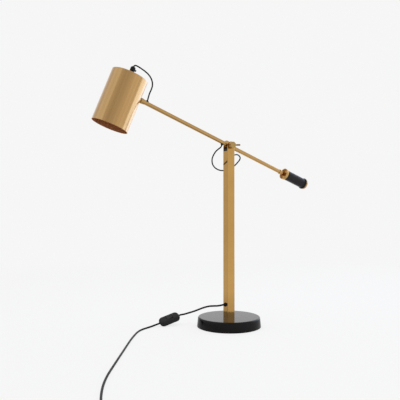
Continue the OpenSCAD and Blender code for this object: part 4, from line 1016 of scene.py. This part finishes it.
coilTie = makeTie(tie)
print("tie made")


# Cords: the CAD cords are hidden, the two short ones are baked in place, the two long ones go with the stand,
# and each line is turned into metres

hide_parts("loop_cord")
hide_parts("head_cord")
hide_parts("mains_cord")
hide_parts("floor_cord", "mains_coil")
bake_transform(loopCord)
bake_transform(headCord)
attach(mainsCord, "stand")
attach(floorCord, "stand")


def inMetres(line):
    return [tuple(p * mm) for p in line]


inMetres(reversed(loopLine))
inMetres(headLine)
inMetres(mainsLine)
inMetres(floorLine)


# Finishes for the CAD solids that stay: most are inside the lamp

cadFinishes = {"base_weight": castIron, "base_bolt": steel, "base_washer": steel, "column_foot": steel,
    "lower_cable": rubber, "upper_cable": rubber, "splice_block": ceramic, "friction_washers": fibre,
    "arm_cable": rubber, "arm_plug": steel, "head_cable": rubber, "holder_base": ceramic,
    "weight_core": steel, "switch_contacts": contactBrass}
for node, finish in cadFinishes.items():
    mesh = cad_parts[node].data
    mesh.materials.clear()
    mesh.materials.append(finish)


# Studio: a pale floor, soft lights and a pale surround; behind is the plan direction past the lamp

studio = {"behind": (0.4877, 0.8730), "floorColour": (0.86, 0.86, 0.86), "surround": 0.922, "fill": 0.62,
    "glossFill": 0.62, "glossBack": 0.55, "glossFront": 0.19, "glossCamera": -0.12, "glossShadeNear": 0.38,
    "glossFloor": 0.64, "glossFloorShare": 0.85, "glowNear": 0.82, "glowFrom": 0.5, "glowTo": 1.6}
softLights = [
    {"name": "rightSoft", "place": (1.35, 0.10, 0.60), "aim": (0.0, 0.0, 0.45), "size": (1.8, 1.2),
     "power": 6.2, "colour": (0.80, 1.0, 1.4), "glossy": True},
    {"name": "leftSoft", "place": (-1.5, 0.2, 1.15), "aim": (-0.2, 0.0, 0.50), "size": (1.3, 1.4),
     "power": 1.3, "colour": (0.85, 1.0, 1.2), "glossy": True},
    {"name": "frontSoft", "place": (-1.1, -2.0, 1.6), "aim": (0.0, 0.0, 0.25), "size": (1.6, 1.2),
     "power": 12, "colour": (1, 1, 1), "glossy": False},
    {"name": "overhead", "place": (0.1, 0.2, 2.1), "aim": (0.0, 0.0, 0.0), "size": (1.8, 1.8),
     "power": 20, "colour": (1, 1, 1), "glossy": False},
]


def surroundSeen(tree, heading, look, plain):
    # reflections see a surround paler behind the lamp and at its front right, and darker in front of it
    x, y = look["behind"]
    lobes = (((x, y, 0), 4.0, look["glossBack"]), ((x, -y, 0), 6.0, look["glossFront"]),
        ((-x, -y, 0), 4.0, look["glossCamera"]))
    for aim, sharpness, level in lobes:
        towards = addNode(tree, "ShaderNodeVectorMath", {0: heading, 1: aim},
            operation="DOT_PRODUCT").outputs["Value"]
        lobe = calc(tree, "POWER", calc(tree, "MAXIMUM", towards, 0.0), sharpness)
        plain = calc(tree, "ADD", plain, calc(tree, "MULTIPLY", lobe, level))
    return plain


def lightPath(tree):
    path = addNode(tree, "ShaderNodeLightPath").outputs
    return path, calc(tree, "MAXIMUM", path["Is Camera Ray"], path["Is Transmission Ray"])


def makeSurround(look):
    world = bpy.data.worlds.new("surround")
    bpy.context.scene.world = world
    world.use_nodes = True
    tree = world.node_tree
    back = tree.nodes["Background"]
    path, seen = lightPath(tree)
    heading = addNode(tree, "ShaderNodeTexCoord").outputs["Generated"]
    mirrored = surroundSeen(tree, heading, look, look["glossFill"])
    level = result(tree, "ShaderNodeMix", {"Factor": path["Is Glossy Ray"], 2: look["fill"], 3: mirrored})
    final = result(tree, "ShaderNodeMix", {"Factor": seen, 2: level, 3: look["surround"]})
    tree.links.new(final, back.inputs["Strength"])
    back.inputs["Color"].default_value = (1, 1, 1, 1)


def makeFloor(look):
    floorMesh = bpy.data.meshes.new("floor")
    floorMesh.from_pydata([(-14, -14, 0), (14, -14, 0), (14, 14, 0), (-14, 14, 0)], [], [(0, 1, 2, 3)])
    floor = addObject("floor", floorMesh)
    paint, tree, shader = newMaterial("paleFloor")
    shader.inputs["Base Color"].default_value = (*look["floorColour"], 1)
    shader.inputs["Roughness"].default_value = 0.9
    shader.inputs["Specular IOR Level"].default_value = 0
    path, seen = lightPath(tree)
    # the camera sees mostly an even glow: the floor's own shading is a small share, and only near the lamp
    spot = addNode(tree, "ShaderNodeTexCoord").outputs["Object"]
    away = addNode(tree, "ShaderNodeVectorMath", {0: spot}, operation="LENGTH").outputs["Value"]
    fade = remap(tree, away, look["glowFrom"], look["glowTo"], look["glowNear"], 1.0)
    heading = addNode(tree, "ShaderNodeVectorMath", {0: spot}, operation="NORMALIZE").outputs["Vector"]
    # painted shade and light: seen in reflections, the floor glows darker close under the lamp, from 0.15 m
    # out to 0.55 m, and paler and darker by its heading from the lamp as the surround does
    paintedShadeUnderLamp = remap(tree, away, 0.15, 0.55, look["glossShadeNear"], look["glossFloor"])
    mirrored = surroundSeen(tree, heading, look, paintedShadeUnderLamp)
    level = result(tree, "ShaderNodeMix", {"Factor": seen, 2: mirrored, 3: look["surround"]})
    glow = addNode(tree, "ShaderNodeEmission", {"Strength": level})
    inGloss = calc(tree, "MULTIPLY", path["Is Glossy Ray"], look["glossFloorShare"])
    share = calc(tree, "MAXIMUM", calc(tree, "MULTIPLY", seen, fade), inGloss)
    mix = addNode(tree, "ShaderNodeMixShader", {0: share, 1: shader.outputs[0], 2: glow.outputs[0]})
    tree.links.new(mix.outputs[0], tree.nodes["Material Output"].inputs["Surface"])
    floorMesh.materials.append(paint)


def makeLights(lights):
    for light in lights:
        data = bpy.data.lights.new(light["name"], "AREA")
        data.shape = "RECTANGLE"
        data.size, data.size_y = light["size"]
        data.energy = light["power"]
        data.color = light["colour"]
        lamp = addObject(light["name"], data)
        lamp.location = light["place"]
        aim = Vector(light["aim"]) - Vector(light["place"])
        lamp.rotation_euler = aim.to_track_quat("-Z", "Y").to_euler()
        lamp.visible_glossy = light["glossy"]


makeSurround(studio)
makeFloor(studio)
makeLights(softLights)
print("studio made")
